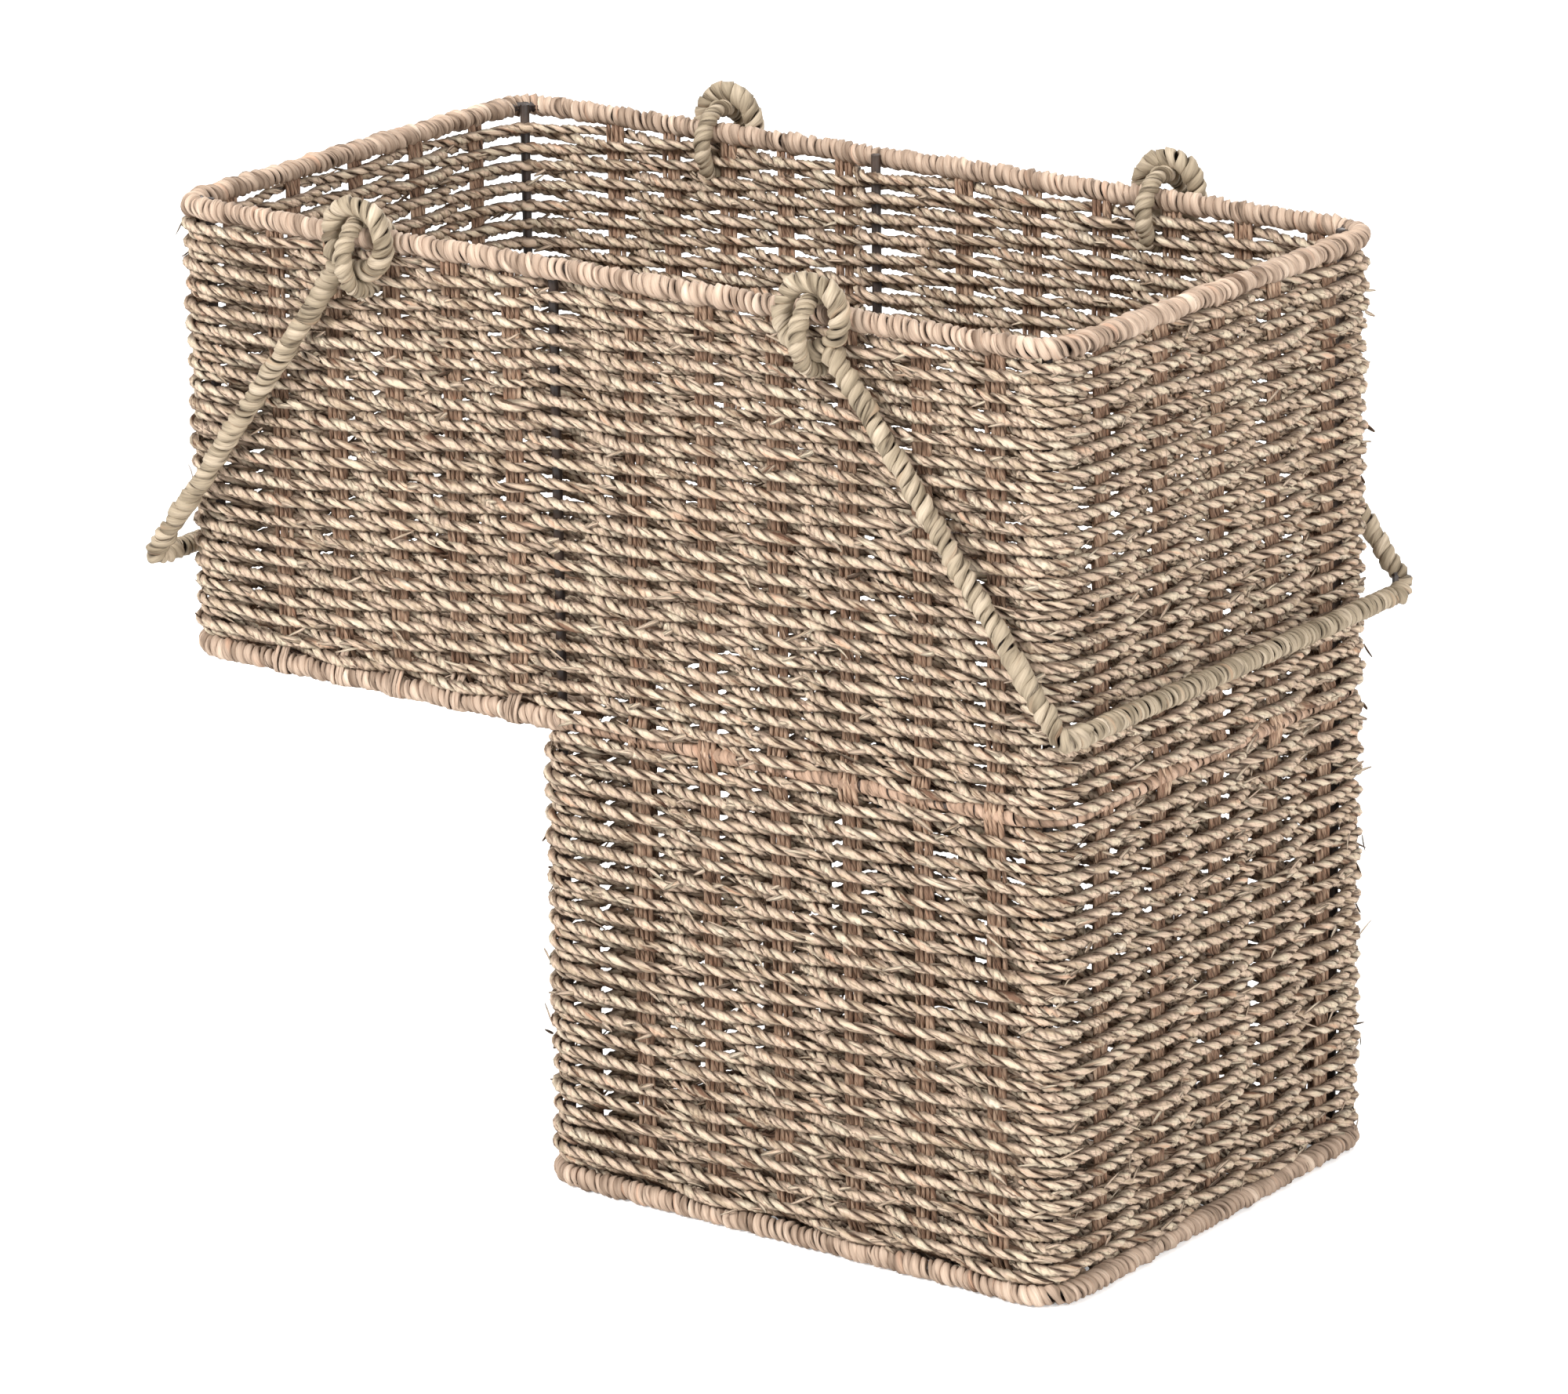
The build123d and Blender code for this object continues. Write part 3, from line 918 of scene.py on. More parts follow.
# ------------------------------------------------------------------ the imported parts' sizes
@dataclass
class Hoop:
    """Rounded rectangle that a hoop of wire follows."""

    half_x: float
    half_y: float
    centre_x: float
    z: float
    bend: float = 16 * MM

    @classmethod
    def of_wire(cls, node: str) -> Hoop:
        """Centre line of a packed wire hoop.

        Args:
            node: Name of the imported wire.

        Returns:
            The hoop, with its corners as tight as the basket's.
        """
        low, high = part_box(node)
        wire = (high.z - low.z) / 2
        half_x, half_y = (high.x - low.x) / 2 - wire, (high.y - low.y) / 2 - wire
        return cls(half_x, half_y, (high.x + low.x) / 2, (high.z + low.z) / 2)

    @property
    def runs(self) -> tuple[float, float, float]:
        """Length of a long side, of a corner and of a short side."""
        return 2 * (self.half_x - self.bend), math.pi * self.bend / 2, 2 * (self.half_y - self.bend)

    @property
    def perimeter(self) -> float:
        """Length all round."""
        side, corner, end = self.runs
        return 2 * side + 4 * corner + 2 * end

    def front(self, x: float) -> float:
        """Distance round the hoop of a place on the front."""
        return x - (self.centre_x - self.half_x + self.bend)

    def right(self, y: float) -> float:
        """Distance round the hoop of a place on the right end."""
        side, corner, _ = self.runs
        return side + corner + y + self.half_y - self.bend

    def back(self, x: float) -> float:
        """Distance round the hoop of a place on the back."""
        side, corner, end = self.runs
        return side + 2 * corner + end + (self.centre_x + self.half_x - self.bend) - x

    def left(self, y: float) -> float:
        """Distance round the hoop of a place on the left end."""
        side, corner, end = self.runs
        return 2 * side + 3 * corner + end + self.half_y - self.bend - y

    def corner(self, index: int) -> float:
        """Distance round the hoop of the middle of a corner.

        Args:
            index: Number of the corner: front right, back right, back left, front left.

        Returns:
            The distance.
        """
        side, corner, end = self.runs
        starts = (side, side + corner + end, 2 * side + 2 * corner + end, 2 * side + 3 * corner + 2 * end)
        return starts[index] + corner / 2

    def trace(self, where: np.ndarray) -> tuple[np.ndarray, np.ndarray]:
        """Points and outward directions at distances round the hoop.

        Args:
            where: Distances, from the left end of the front.

        Returns:
            Points and directions, level with the hoop.
        """
        side, corner, end = self.runs
        where = np.mod(where, self.perimeter)
        x0, y0 = self.half_x - self.bend, self.half_y - self.bend
        pivots = ((-x0, -y0), (x0, -y0), (x0, y0), (-x0, y0))
        points, out = np.zeros((len(where), 3)), np.zeros((len(where), 3))
        start = 0.0
        for index, length in enumerate((side, corner, end, corner) * 2):
            inside = (where >= start - 1e-9) & (where < start + length)
            ahead = where[inside] - start
            turned = index % 2 == 1
            pivot = pivots[(index + 1) // 2 % 4]
            angle = math.radians(90.0 * (index // 2 - 1)) + (ahead / self.bend if turned else 0 * ahead)
            facing = np.column_stack([np.cos(angle), np.sin(angle), 0 * angle])
            onward = np.column_stack([-facing[:, 1], facing[:, 0], 0 * angle])
            travel = 0 * ahead if turned else ahead
            middle = np.array([pivot[0] + self.centre_x, pivot[1], self.z])
            points[inside] = middle + facing * self.bend + onward * travel[:, None]
            out[inside] = facing
            start += length
        return points, out

    def track(self, step: float = 2 * MM) -> Track:
        """Whole hoop as a closed track, with points a step apart."""
        places = np.linspace(0, self.perimeter, int(self.perimeter / step), endpoint=False)
        return Track(*self.trace(places), True)

    def stretch(self, start: float, end: float, step: float = 2 * MM) -> Track:
        """Part of the hoop as an open track, past its start where needed."""
        places = np.linspace(start, end, max(3, int((end - start) / step)))
        return Track(*self.trace(places))


def clusters(node: str, axis: int, gap: float = 8 * MM) -> list[float]:
    """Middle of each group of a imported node's vertices.

    Args:
        node: Name of the node.
        axis: Number of the axis that they are grouped along.
        gap: Empty length that parts two groups.

    Returns:
        The middles, in order.
    """
    mesh = bpy.data.objects[node].data
    values = np.sort(np.array([v.co[axis] for v in mesh.vertices]))
    groups = np.split(values, np.where(np.diff(values) > gap)[0] + 1)
    return [float((g[0] + g[-1]) / 2) for g in groups]


@dataclass(frozen=True)
class Layout:
    """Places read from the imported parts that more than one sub-assembly needs."""

    rim: Hoop
    step: Hoop
    base: Hoop
    step_stakes: list[float]
    base_stakes: list[float]
    end_stakes: list[float]
    riser_x: float
    riser_post_x: float

    @classmethod
    def read(cls) -> Layout:
        """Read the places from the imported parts.

        Returns:
            The layout.
        """
        low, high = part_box("riser_posts")
        bar_low, bar_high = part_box("step_crossbar_wire")
        return cls(
            rim=Hoop.of_wire("rim_wire"),
            step=Hoop.of_wire("step_wire"),
            base=Hoop.of_wire("base_wire"),
            step_stakes=clusters("step_cross_stakes", 0),
            base_stakes=clusters("base_cross_stakes", 0),
            end_stakes=clusters("right_end_stakes", 1),
            riser_x=(bar_low.x + bar_high.x) / 2,
            riser_post_x=(low.x + high.x) / 2,
        )

    def ground(self, hoop: Hoop) -> float:
        """Height of the surface that the binding of a hoop rests on."""
        return hoop.z - self.base.z


def join_body(piece: bpy.types.Object, body: Body) -> None:
    """Put a piece on its body and report it.

    Args:
        piece: The finished piece.
        body: The body that carries it.
    """
    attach(piece, body.value)
    LOG.info("%s: %d faces", piece.name, len(piece.data.polygons))


def settle(made: dict[str, bpy.types.Object], body: Body) -> None:
    """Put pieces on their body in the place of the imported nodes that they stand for.

    Args:
        made: Pieces by the name of the node.
        body: The body that carries them.
    """
    for node, piece in made.items():
        join_body(piece, body)
        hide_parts(node)


# ------------------------------------------------------------------ sub-assemblies
@dataclass(frozen=True)
class Upright:
    """Stake or post that the rows pass, with the depths of their centres outside and inside it."""

    where: float
    outside: float
    inside: float
    corner: bool = False


@dataclass
class Weave:
    """Rows of rope that pass outside and inside the stakes by turns, from the rim to the base."""

    layout: Layout
    rope: Rope = Rope()
    first_row: float = 7.4 * MM
    last_row: float = 6.9 * MM
    upper_pitch: float = 4.1 * MM
    upper_count: int = 44
    row_count: int = 86
    rows_per_piece: int = 10
    step_along: float = 2.0 * MM
    stake_depths: tuple[float, float] = (2.7 * MM, -4.3 * MM)
    post_depths: tuple[float, float] = (0.2 * MM, -8.3 * MM)
    corner_depths: tuple[float, float] = (1.2 * MM, -1.2 * MM)
    back_left_depths: tuple[float, float] = (0.6 * MM, -12.2 * MM)
    depth_stray: float = 0.4 * MM
    depth_cell: float = 30 * MM
    level_stray: float = 0.5 * MM
    level_cell: float = 36 * MM
    hoop_row: int = 43
    hoop_push: float = 2.2 * MM
    hoop_push_fade: float = 6 * MM
    hoop_lift: float = 1.6 * MM
    hoop_lift_fade: float = 25 * MM
    hoop_start: float = 16 * MM
    clear_of_hoop: float = 6.4 * MM
    corner_bend: float = 14.0 * MM
    floor_inset: float = 6.0 * MM
    floor_edge: float = 4 * MM
    riser_edge: float = 4.5 * MM
    floor_overrun: float = 14 * MM
    floor_clearance: float = 3.3 * MM
    floor_slot: float = 6.3 * MM
    floor_pitch: float = 4.0 * MM
    floor_step: float = 2.5 * MM
    floor_stray: float = 0.4 * MM
    floor_cell: float = 40 * MM

    def uprights(self, hoop: Hoop, upper: bool) -> list[Upright]:
        """Uprights that a row passes, in order round its hoop.

        Args:
            hoop: The hoop that the row follows.
            upper: Whether the row is above the step.

        Returns:
            The stakes, the corner posts and, above the step, the riser posts.
        """
        plan = self.layout
        stakes = plan.base_stakes + (plan.step_stakes if upper else [])
        places = [hoop.front(x) for x in stakes] + [hoop.back(x) for x in stakes]
        places += [hoop.right(y) for y in plan.end_stakes] + [hoop.left(y) for y in plan.end_stakes]
        found = [Upright(place, *self.stake_depths) for place in places]
        back_left = self.back_left_depths if upper else self.corner_depths
        corner_depths = (self.corner_depths, self.corner_depths, back_left, self.corner_depths)
        found += [Upright(hoop.corner(i), *pair, corner=True) for i, pair in enumerate(corner_depths)]
        if upper:
            posts = (hoop.front(plan.riser_post_x), hoop.back(plan.riser_post_x))
            found += [Upright(place, *self.post_depths) for place in posts]
        return sorted(found, key=lambda upright: upright.where)

    def depth(self, uprights: list[Upright], first_side: int, here: np.ndarray, total: float) -> np.ndarray:
        """How far a row's centre lies outside its hoop.

        Args:
            uprights: What it passes, in order.
            first_side: Even to pass the first upright outside, odd to pass it inside.
            here: Distances along the row.
            total: Length round the hoop.

        Returns:
            One depth for each distance.
        """
        depths, side = [], first_side
        for upright in uprights:
            depths.append(upright.inside if side % 2 else upright.outside)
            side += not upright.corner
        places = [upright.where for upright in uprights]
        places = [places[-1] - total, *places, places[0] + total]
        return eased(here, np.array(places), np.array([depths[-1], *depths, depths[0]]))

    def level(self, row: int) -> float:
        """Height of a row. The upper rows and the lower rows each have an even pitch.

        Args:
            row: Number of the row, from the rim down.

        Returns:
            The height of its centre line.
        """
        top = self.layout.rim.z - self.first_row
        if row < self.upper_count:
            return top - self.upper_pitch * row
        change = top - self.upper_pitch * (self.upper_count - 1)
        share = (row - self.upper_count + 1) / (self.row_count - self.upper_count)
        return change + (self.layout.base.z + self.last_row - change) * share

    def row(self, row: int, rng: np.random.Generator) -> Track:
        """Centre line of one row, which makes room for the step's hoop in the deep end's walls.

        Args:
            row: Number of the row, from the rim down.
            rng: Source of the small differences.

        Returns:
            A loop, or beside the step's hoop an open line round the deep end.
        """
        plan = self.layout
        z = self.level(row)
        over = z - plan.step.z
        upper, closed = over > self.clear_of_hoop, abs(over) > self.clear_of_hoop
        hoop = replace(plan.rim if upper else plan.base, bend=self.corner_bend)
        first_side = row if upper else row + len(plan.step_stakes) + 1
        first, last = 0.0, hoop.perimeter
        if not closed:
            first, last = hoop.front(plan.riser_post_x), hoop.back(plan.riser_post_x)
        length = last - first
        here = np.linspace(first, last, int(length / self.step_along), endpoint=not closed)
        points, out = hoop.trace(here)
        deep_end = np.clip((points[:, 0] - plan.riser_post_x) / self.hoop_start, 0, 1)
        depth = self.depth(self.uprights(hoop, upper), first_side, here, hoop.perimeter)
        depth += self.depth_stray * smooth_noise(rng, here - first, self.depth_cell, length, closed)
        depth += self.hoop_push * math.exp(-((over / self.hoop_push_fade) ** 2)) * deep_end
        points = points + out * depth[:, None]
        lift = self.hoop_lift * math.exp(-abs(over) / self.hoop_lift_fade) * deep_end
        stray = self.level_stray * smooth_noise(rng, here - first, self.level_cell, length, closed)
        points[:, 2] = z + lift + stray
        return Track(points, out, closed)

    def rows(self) -> list[int]:
        """Numbers of the rows from the rim down; the step's hoop takes the place of one."""
        return [row for row in range(self.row_count) if row != self.hoop_row]

    def walls(self, material: bpy.types.Material) -> list[bpy.types.Object]:
        """Weave every wall, a few rows to a piece.

        Args:
            material: Their finish.

        Returns:
            The pieces, from the rim down.
        """
        made = []
        for first in range(0, self.row_count, self.rows_per_piece):
            maker = MeshMaker()
            rows = [row for row in self.rows() if first <= row < first + self.rows_per_piece]
            for row in rows:
                rng = np.random.default_rng(SEED * 1000 + row)
                self.rope.lay(maker, self.row(row, rng), rng)
            made.append(maker.piece(f"weft_rows_{first + 1:02d}_to_{rows[-1] + 1:02d}", material))
        return made

    def floors(self, material: bpy.types.Material) -> dict[str, bpy.types.Object]:
        """Weave both floors.

        Args:
            material: Their finish.

        Returns:
            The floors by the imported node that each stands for.
        """
        step, base, riser = self.layout.step, self.layout.base, self.layout.riser_x
        edge = self.floor_edge
        step_ends = (step.centre_x - step.half_x + edge, riser - self.riser_edge)
        base_ends = (base.centre_x - base.half_x + edge, base.centre_x + base.half_x - edge)
        return {
            "weave_step_floor": self.floor("step", step, step_ends, self.layout.step_stakes, material),
            "weave_base_floor": self.floor("base", base, base_ends, self.layout.base_stakes, material),
        }

    def floor(
        self,
        name: str,
        hoop: Hoop,
        ends: tuple[float, float],
        stakes: list[float],
        material: bpy.types.Material,
    ) -> bpy.types.Object:
        """Weave one floor with rows that run along the basket.

        Args:
            name: The floor's name.
            hoop: The hoop round it.
            ends: Where the rows begin and end.
            stakes: Places of the stakes that they pass.
            material: Its finish.

        Returns:
            The floor as one piece.
        """
        plan = self.layout
        maker = MeshMaker()
        level = hoop.z + FLOOR_RISE
        total = ends[1] - ends[0]
        places = np.array([ends[0] - self.floor_overrun, *stakes, ends[1] + self.floor_overrun])
        here = np.linspace(*ends, int(total / self.floor_step))
        reach = plan.rim.half_y - self.floor_inset + self.floor_slot
        spans = [-reach, *plan.end_stakes, reach]
        rows = []
        for low, high in zip(spans, spans[1:]):
            low, high = low + self.floor_slot, high - self.floor_slot
            rows.extend(np.linspace(low, high, round((high - low) / self.floor_pitch) + 1))
        for index, y in enumerate(rows):
            rng = np.random.default_rng(SEED * 2000 + index + int(level * 1e4))
            sides = np.array([(-1.0) ** (index + i) for i in range(len(places))])
            height = level + self.floor_clearance * eased(here, places, sides)
            stray = self.floor_stray * smooth_noise(rng, here - ends[0], self.floor_cell, total, False)
            points = np.column_stack([here, y + stray, height])
            self.rope.lay(maker, Track(points, np.tile([0.0, 0.0, -1.0], (len(points), 1))), rng)
        maker.press(plan.ground(hoop))
        return maker.piece(f"{name}_floor_rows", material)


@dataclass
class Stakes:
    """Bundles of thin paper cords that run down the walls and across the floors."""

    layout: Layout
    cord: Strand = Strand(reach=0.0, thick=0.95 * MM, wide=1.05 * MM, sides=6, ridges=0.1)
    offsets: tuple[float, ...] = (-3.3 * MM, -1.1 * MM, 1.1 * MM, 3.3 * MM)
    step: float = 3.4 * MM
    stray: float = 0.45 * MM
    stray_cell: float = 14 * MM
    unevenness: float = 0.14
    uneven_cell: float = 12 * MM
    bend: float = 6 * MM
    inset: float = 0.8 * MM
    layer: float = 1.0 * MM
    rim_gap: float = 3.2 * MM
    floor_bend: float = 8.9 * MM
    bulge: float = 3.6 * MM
    bulge_reach: float = 14 * MM
    bar_gap: float = 4.3 * MM
    riser_gap: float = 4.0 * MM

    def corners(self, hoop: Hoop, wall: float, level: float) -> list[tuple[float, float]]:
        """Corners of one leg, from the rim over the step's hoop to the floor.

        Args:
            hoop: The hoop round the floor.
            wall: Distance of the wall from the basket's middle.
            level: Height of the stakes in the floor.

        Returns:
            Distance from the middle and height of each corner.
        """
        leave = hoop.z + self.floor_bend
        leg = [(wall, self.layout.rim.z - self.rim_gap)]
        if hoop is self.layout.base:
            middle, reach = self.layout.step.z, self.bulge_reach
            leg += [(wall, middle + reach), (wall + self.bulge, middle), (wall, middle - reach)]
        return leg + [(wall, leave), (wall - (leave - level), level)]

    def bundle(
        self, maker: MeshMaker, corners: list[np.ndarray], across: np.ndarray, rng: np.random.Generator
    ) -> None:
        """Draw one bundle of cords through its corners, side by side.

        Args:
            maker: The mesh that takes them.
            corners: Ends and corners of the bundle's middle.
            across: Direction in which the cords lie side by side.
            rng: Source of the small differences.
        """
        for offset in self.offsets:
            moved = [corner + across * offset for corner in corners]
            line = rounded(moved, self.bend, across).resampled(self.step)
            here, total = line.stations(), line.length()
            stray = self.stray * smooth_noise(rng, here, self.stray_cell, total, False)
            scale = 1 + self.unevenness * smooth_noise(rng, here, self.uneven_cell, total, False)
            cord = Track(line.points + across * stray[:, None], np.cross(line.along(), across))
            maker.sweep_plain(cord, self.cord, scale, rng)

    def build(self, material: bpy.types.Material) -> dict[str, bpy.types.Object]:
        """Make the four groups of stakes.

        Args:
            material: Their finish.

        Returns:
            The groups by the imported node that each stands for.
        """
        plan = self.layout
        rng = np.random.default_rng(SEED + 5)
        left, right = self.left_corners(), self.right_corners()
        groups = {
            "step_cross_stakes": [self.cross_line(x, plan.step) for x in plan.step_stakes],
            "base_cross_stakes": [self.cross_line(x, plan.base) for x in plan.base_stakes],
            "left_end_stakes": [[np.array([x, y, z]) for x, z in left] for y in plan.end_stakes],
            "right_end_stakes": [[np.array([x, y, z]) for x, z in right] for y in plan.end_stakes],
        }
        made = {}
        for node, lines in groups.items():
            maker = MeshMaker()
            across = np.array([1.0, 0, 0] if "cross" in node else [0, 1.0, 0])
            for line in lines:
                self.bundle(maker, line, across, rng)
            made[node] = maker.piece(f"{node}_cords", material)
        return made

    def cross_line(self, x: float, hoop: Hoop) -> list[np.ndarray]:
        """Corners of a stake, from the rim's front across a floor and up to the rim's back.

        Args:
            x: Its place along the basket.
            hoop: The hoop round the floor.

        Returns:
            The corners.
        """
        wall = self.layout.rim.half_y - self.inset
        leg = self.corners(hoop, wall, hoop.z + FLOOR_RISE - self.layer)
        front = [np.array([x, -y, z]) for y, z in leg]
        return front + [np.array([x, y, z]) for y, z in reversed(leg)]

    def left_corners(self) -> list[tuple[float, float]]:
        """Corners of a left stake, from the rim across the step's floor to the riser.

        Returns:
            Distance along the basket and height of each corner.
        """
        plan = self.layout
        level = plan.step.z + FLOOR_RISE + self.layer
        leg = self.corners(plan.step, plan.rim.half_x - self.inset, level)
        return [(-x, z) for x, z in leg] + [(plan.riser_x - self.bar_gap, level)]

    def right_corners(self) -> list[tuple[float, float]]:
        """Corners of a right stake, from the rim across the base's floor and up the riser.

        Returns:
            Distance along the basket and height of each corner.
        """
        plan = self.layout
        level = plan.base.z + FLOOR_RISE + self.layer
        leg = self.corners(plan.base, plan.rim.half_x - self.inset, level)
        (wall, leave), (inner, _) = leg[-2:]
        top = plan.step.z - self.riser_gap
        return leg + [(plan.riser_x + (wall - inner), level), (plan.riser_x, leave), (plan.riser_x, top)]


@dataclass
class Bindings:
    """Strands wound round the three hoops and the step's crossbar."""

    layout: Layout
    wrap: Wrap = Wrap(
        Strand(reach=2.8 * MM, thick=1.6 * MM, wide=1.85 * MM, sides=7, ridges=0.22),
        pitch=7.2 * MM,
        per_turn=20,
        unevenness=0.42,
        starts=2,
    )
    bar_gap: float = 4.3 * MM
    wire_bend: float = 22 * MM
    strip_cover: float = 0.3 * MM
    strip_thick: float = 0.5 * MM
    strip_wide: float = 2.3 * MM
    strip_pitch: float = 4.4 * MM
    tuck_cord: Strand = Strand(reach=0.0, thick=0.7 * MM, wide=1.1 * MM, sides=6, ridges=0.1)
    tuck_offsets: tuple[float, ...] = (-2.4, 0.0, 2.2)
    tuck_stray: float = 0.5
    tuck_profile: tuple[tuple[float, float], ...] = (
        (-0.8, 11.0), (2.6, 6.2), (5.0, 1.5), (4.4, -2.8), (1.2, -5.0), (-3.2, -4.2),
    )
    tuck_bend: float = 6 * MM
    tuck_step: float = 2 * MM
    tuck_cell: float = 7 * MM
    tuck_unevenness: float = 0.2

    def build(self, material: bpy.types.Material) -> dict[str, bpy.types.Object]:
        """Make each binding.

        Args:
            material: Their finish.

        Returns:
            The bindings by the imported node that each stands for.
        """
        plan = self.layout
        step, x = plan.step, plan.riser_x
        reach = step.half_y - self.bar_gap
        open_end = x + step.bend
        tracks = {
            "rim_binding": plan.rim.track(),
            "step_binding": step.stretch(step.back(open_end), step.perimeter + step.front(open_end)),
            "base_binding": plan.base.track(),
            "step_crossbar_binding": straight(
                Vector((x, -reach, step.z)), Vector((x, reach, step.z)), Vector((0, 0, -1))
            ),
        }
        made = {}
        for index, (node, track) in enumerate(tracks.items()):
            maker = MeshMaker()
            rng = np.random.default_rng(SEED + 20 + index)
            self.wrap.wind(maker, track, rng)
            if node == "step_binding":
                for place in plan.step_stakes:
                    self.tuck(maker, place, -1, rng)
                    self.tuck(maker, place, 1, rng)
            if node != "rim_binding":
                maker.press(plan.ground(plan.base if node == "base_binding" else step))
            made[node] = maker.piece(f"{node}_strand", material)
        return made

    def hidden_hoop(self, material: bpy.types.Material) -> bpy.types.Object:
        """Thin strip round the part of the step's hoop that runs in the walls of the deep end.

        Args:
            material: Its finish.

        Returns:
            The strip as one piece.
        """
        low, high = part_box("step_wire")
        wire = (high.z - low.z) / 2
        strip = Strand(wire + self.strip_cover, self.strip_thick, self.strip_wide, sides=6, ridges=0.15)
        hoop = replace(self.layout.step, bend=self.wire_bend)
        post = self.layout.riser_post_x
        maker = MeshMaker()
        wrap = Wrap(strip, self.strip_pitch, per_turn=12, unevenness=0.2)
        wrap.wind(maker, hoop.stretch(hoop.front(post), hoop.back(post)), np.random.default_rng(SEED + 30))
        return maker.piece("step_hoop_strip", material)

    def tuck(self, maker: MeshMaker, x: float, facing: int, rng: np.random.Generator) -> None:
        """Carry three cords of a stake down over the outside of the step's binding.

        Args:
            maker: The mesh that takes them.
            x: Place of the stake.
            facing: Minus one at the front, one at the back.
            rng: Source of the small differences.
        """
        hoop = self.layout.step
        for offset in self.tuck_offsets:
            at = x + (offset + rng.uniform(-self.tuck_stray, self.tuck_stray)) * MM
            places = [(facing * (hoop.half_y + out * MM), hoop.z + up * MM) for out, up in self.tuck_profile]
            corners = [np.array([at, y, z]) for y, z in places]
            line = rounded(corners, self.tuck_bend, np.array([1.0, 0, 0])).resampled(self.tuck_step)
            noise = smooth_noise(rng, line.stations(), self.tuck_cell, line.length(), False)
            scale = 1 + self.tuck_unevenness * noise
            cord = Track(line.points, np.cross(line.along(), line.out))
            maker.sweep_plain(cord, self.tuck_cord, scale, rng)


@dataclass
class Hangers:
    """Wrapped rings round the rim that carry the handles' eyes."""

    side: str
    half_thick: float = 2.5 * MM
    wrap: Wrap = Wrap(
        Strand(reach=2.2 * MM, thick=1.5 * MM, wide=1.9 * MM, sides=7, ridges=0.22),
        pitch=7.0 * MM,
        per_turn=18,
        unevenness=0.42,
        starts=2,
    )

    def build(self, material: bpy.types.Material) -> dict[str, bpy.types.Object]:
        """Make both rings of one end as one piece.

        Args:
            material: Their finish.

        Returns:
            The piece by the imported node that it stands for.
        """
        node = f"hanger_rings_{self.side}"
        low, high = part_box(node)
        radius = (high.z - low.z) / 2 - self.half_thick
        x, z = (low.x + high.x) / 2, (low.z + high.z) / 2
        maker = MeshMaker()
        for y in (low.y + radius + self.half_thick, high.y - radius - self.half_thick):
            ring = circle(Vector((x, y, z)), Vector((0, 1, 0)), Vector((0, 0, 1)), radius)
            self.wrap.wind(maker, ring, np.random.default_rng(SEED + 40))
        return {node: maker.piece(f"{node}_strand", material)}


@dataclass
class Handle:
    """Bail handle: two eyes, two wrapped arms and a finely bound grip."""

    side: str
    hinge: Vector
    eye_radius: float = 13 * MM
    half_thick: float = 3.2 * MM
    eye_gap: float = 1 * MM
    bend: float = 14 * MM
    bend_share: float = 0.98
    arm_wrap: Wrap = Wrap(
        Strand(reach=2.8 * MM, thick=1.45 * MM, wide=2.3 * MM, sides=8, ridges=0.22),
        pitch=9.0 * MM,
        per_turn=22,
        unevenness=0.4,
        starts=2,
    )
    grip_wrap: Wrap = Wrap(
        Strand(reach=3.3 * MM, thick=0.95 * MM, wide=1.35 * MM, sides=7, ridges=0.18),
        pitch=2.7 * MM,
        per_turn=16,
        unevenness=0.32,
    )

    def build(self, material: bpy.types.Material) -> dict[str, bpy.types.Object]:
        """Make the arms and the grip.

        Args:
            material: Their finish.

        Returns:
            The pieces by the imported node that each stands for.
        """
        node = f"handle_{self.side}_grip"
        low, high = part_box(node)
        grip = Vector(((low.x + high.x) / 2, 0, (low.z + high.z) / 2))
        arms = (("front", -1), ("back", 1))
        made = {}
        for index, (name, facing) in enumerate(arms):
            rng = np.random.default_rng(SEED + 60 + index)
            made[f"handle_{self.side}_arm_{name}"] = self.arm(name, facing, grip, material, rng)
        maker = MeshMaker()
        out = (grip - self.hinge).normalized().cross(Vector((0, 1, 0)))
        bar = straight(Vector((grip.x, low.y, grip.z)), Vector((grip.x, high.y, grip.z)), out)
        self.grip_wrap.wind(maker, bar, np.random.default_rng(SEED + 70))
        made[node] = maker.piece(f"{node}_strand", material)
        return made

    def arm(
        self, name: str, facing: int, grip: Vector, material: bpy.types.Material, rng: np.random.Generator
    ) -> bpy.types.Object:
        """Make one arm with its eye, up to where it turns into the grip.

        Args:
            name: Which arm of the handle it is.
            facing: Minus one at the front, one at the back.
            grip: Middle of the grip.
            material: Its finish.
            rng: Source of the small differences.

        Returns:
            The arm as one piece.
        """
        node = f"handle_{self.side}_arm_{name}"
        low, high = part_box(node)
        y = (low.y if facing < 0 else high.y) - facing * self.half_thick
        away, reach = (grip - self.hinge).normalized(), (grip - self.hinge).length
        across = Vector((0, facing, 0))
        normal = away.cross(across).normalized()
        eye = self.hinge + Vector((0, y, 0))
        maker = MeshMaker()
        self.arm_wrap.wind(maker, circle(eye, away, normal, self.eye_radius), rng)
        corners = [
            np.array(eye + away * (self.eye_radius + self.eye_gap)),
            np.array(eye + away * reach),
            np.array(eye + away * reach - across * self.bend),
        ]
        self.arm_wrap.wind(maker, rounded(corners, self.bend * self.bend_share, np.array(normal)), rng)
        return maker.piece(f"{node}_strand", material)


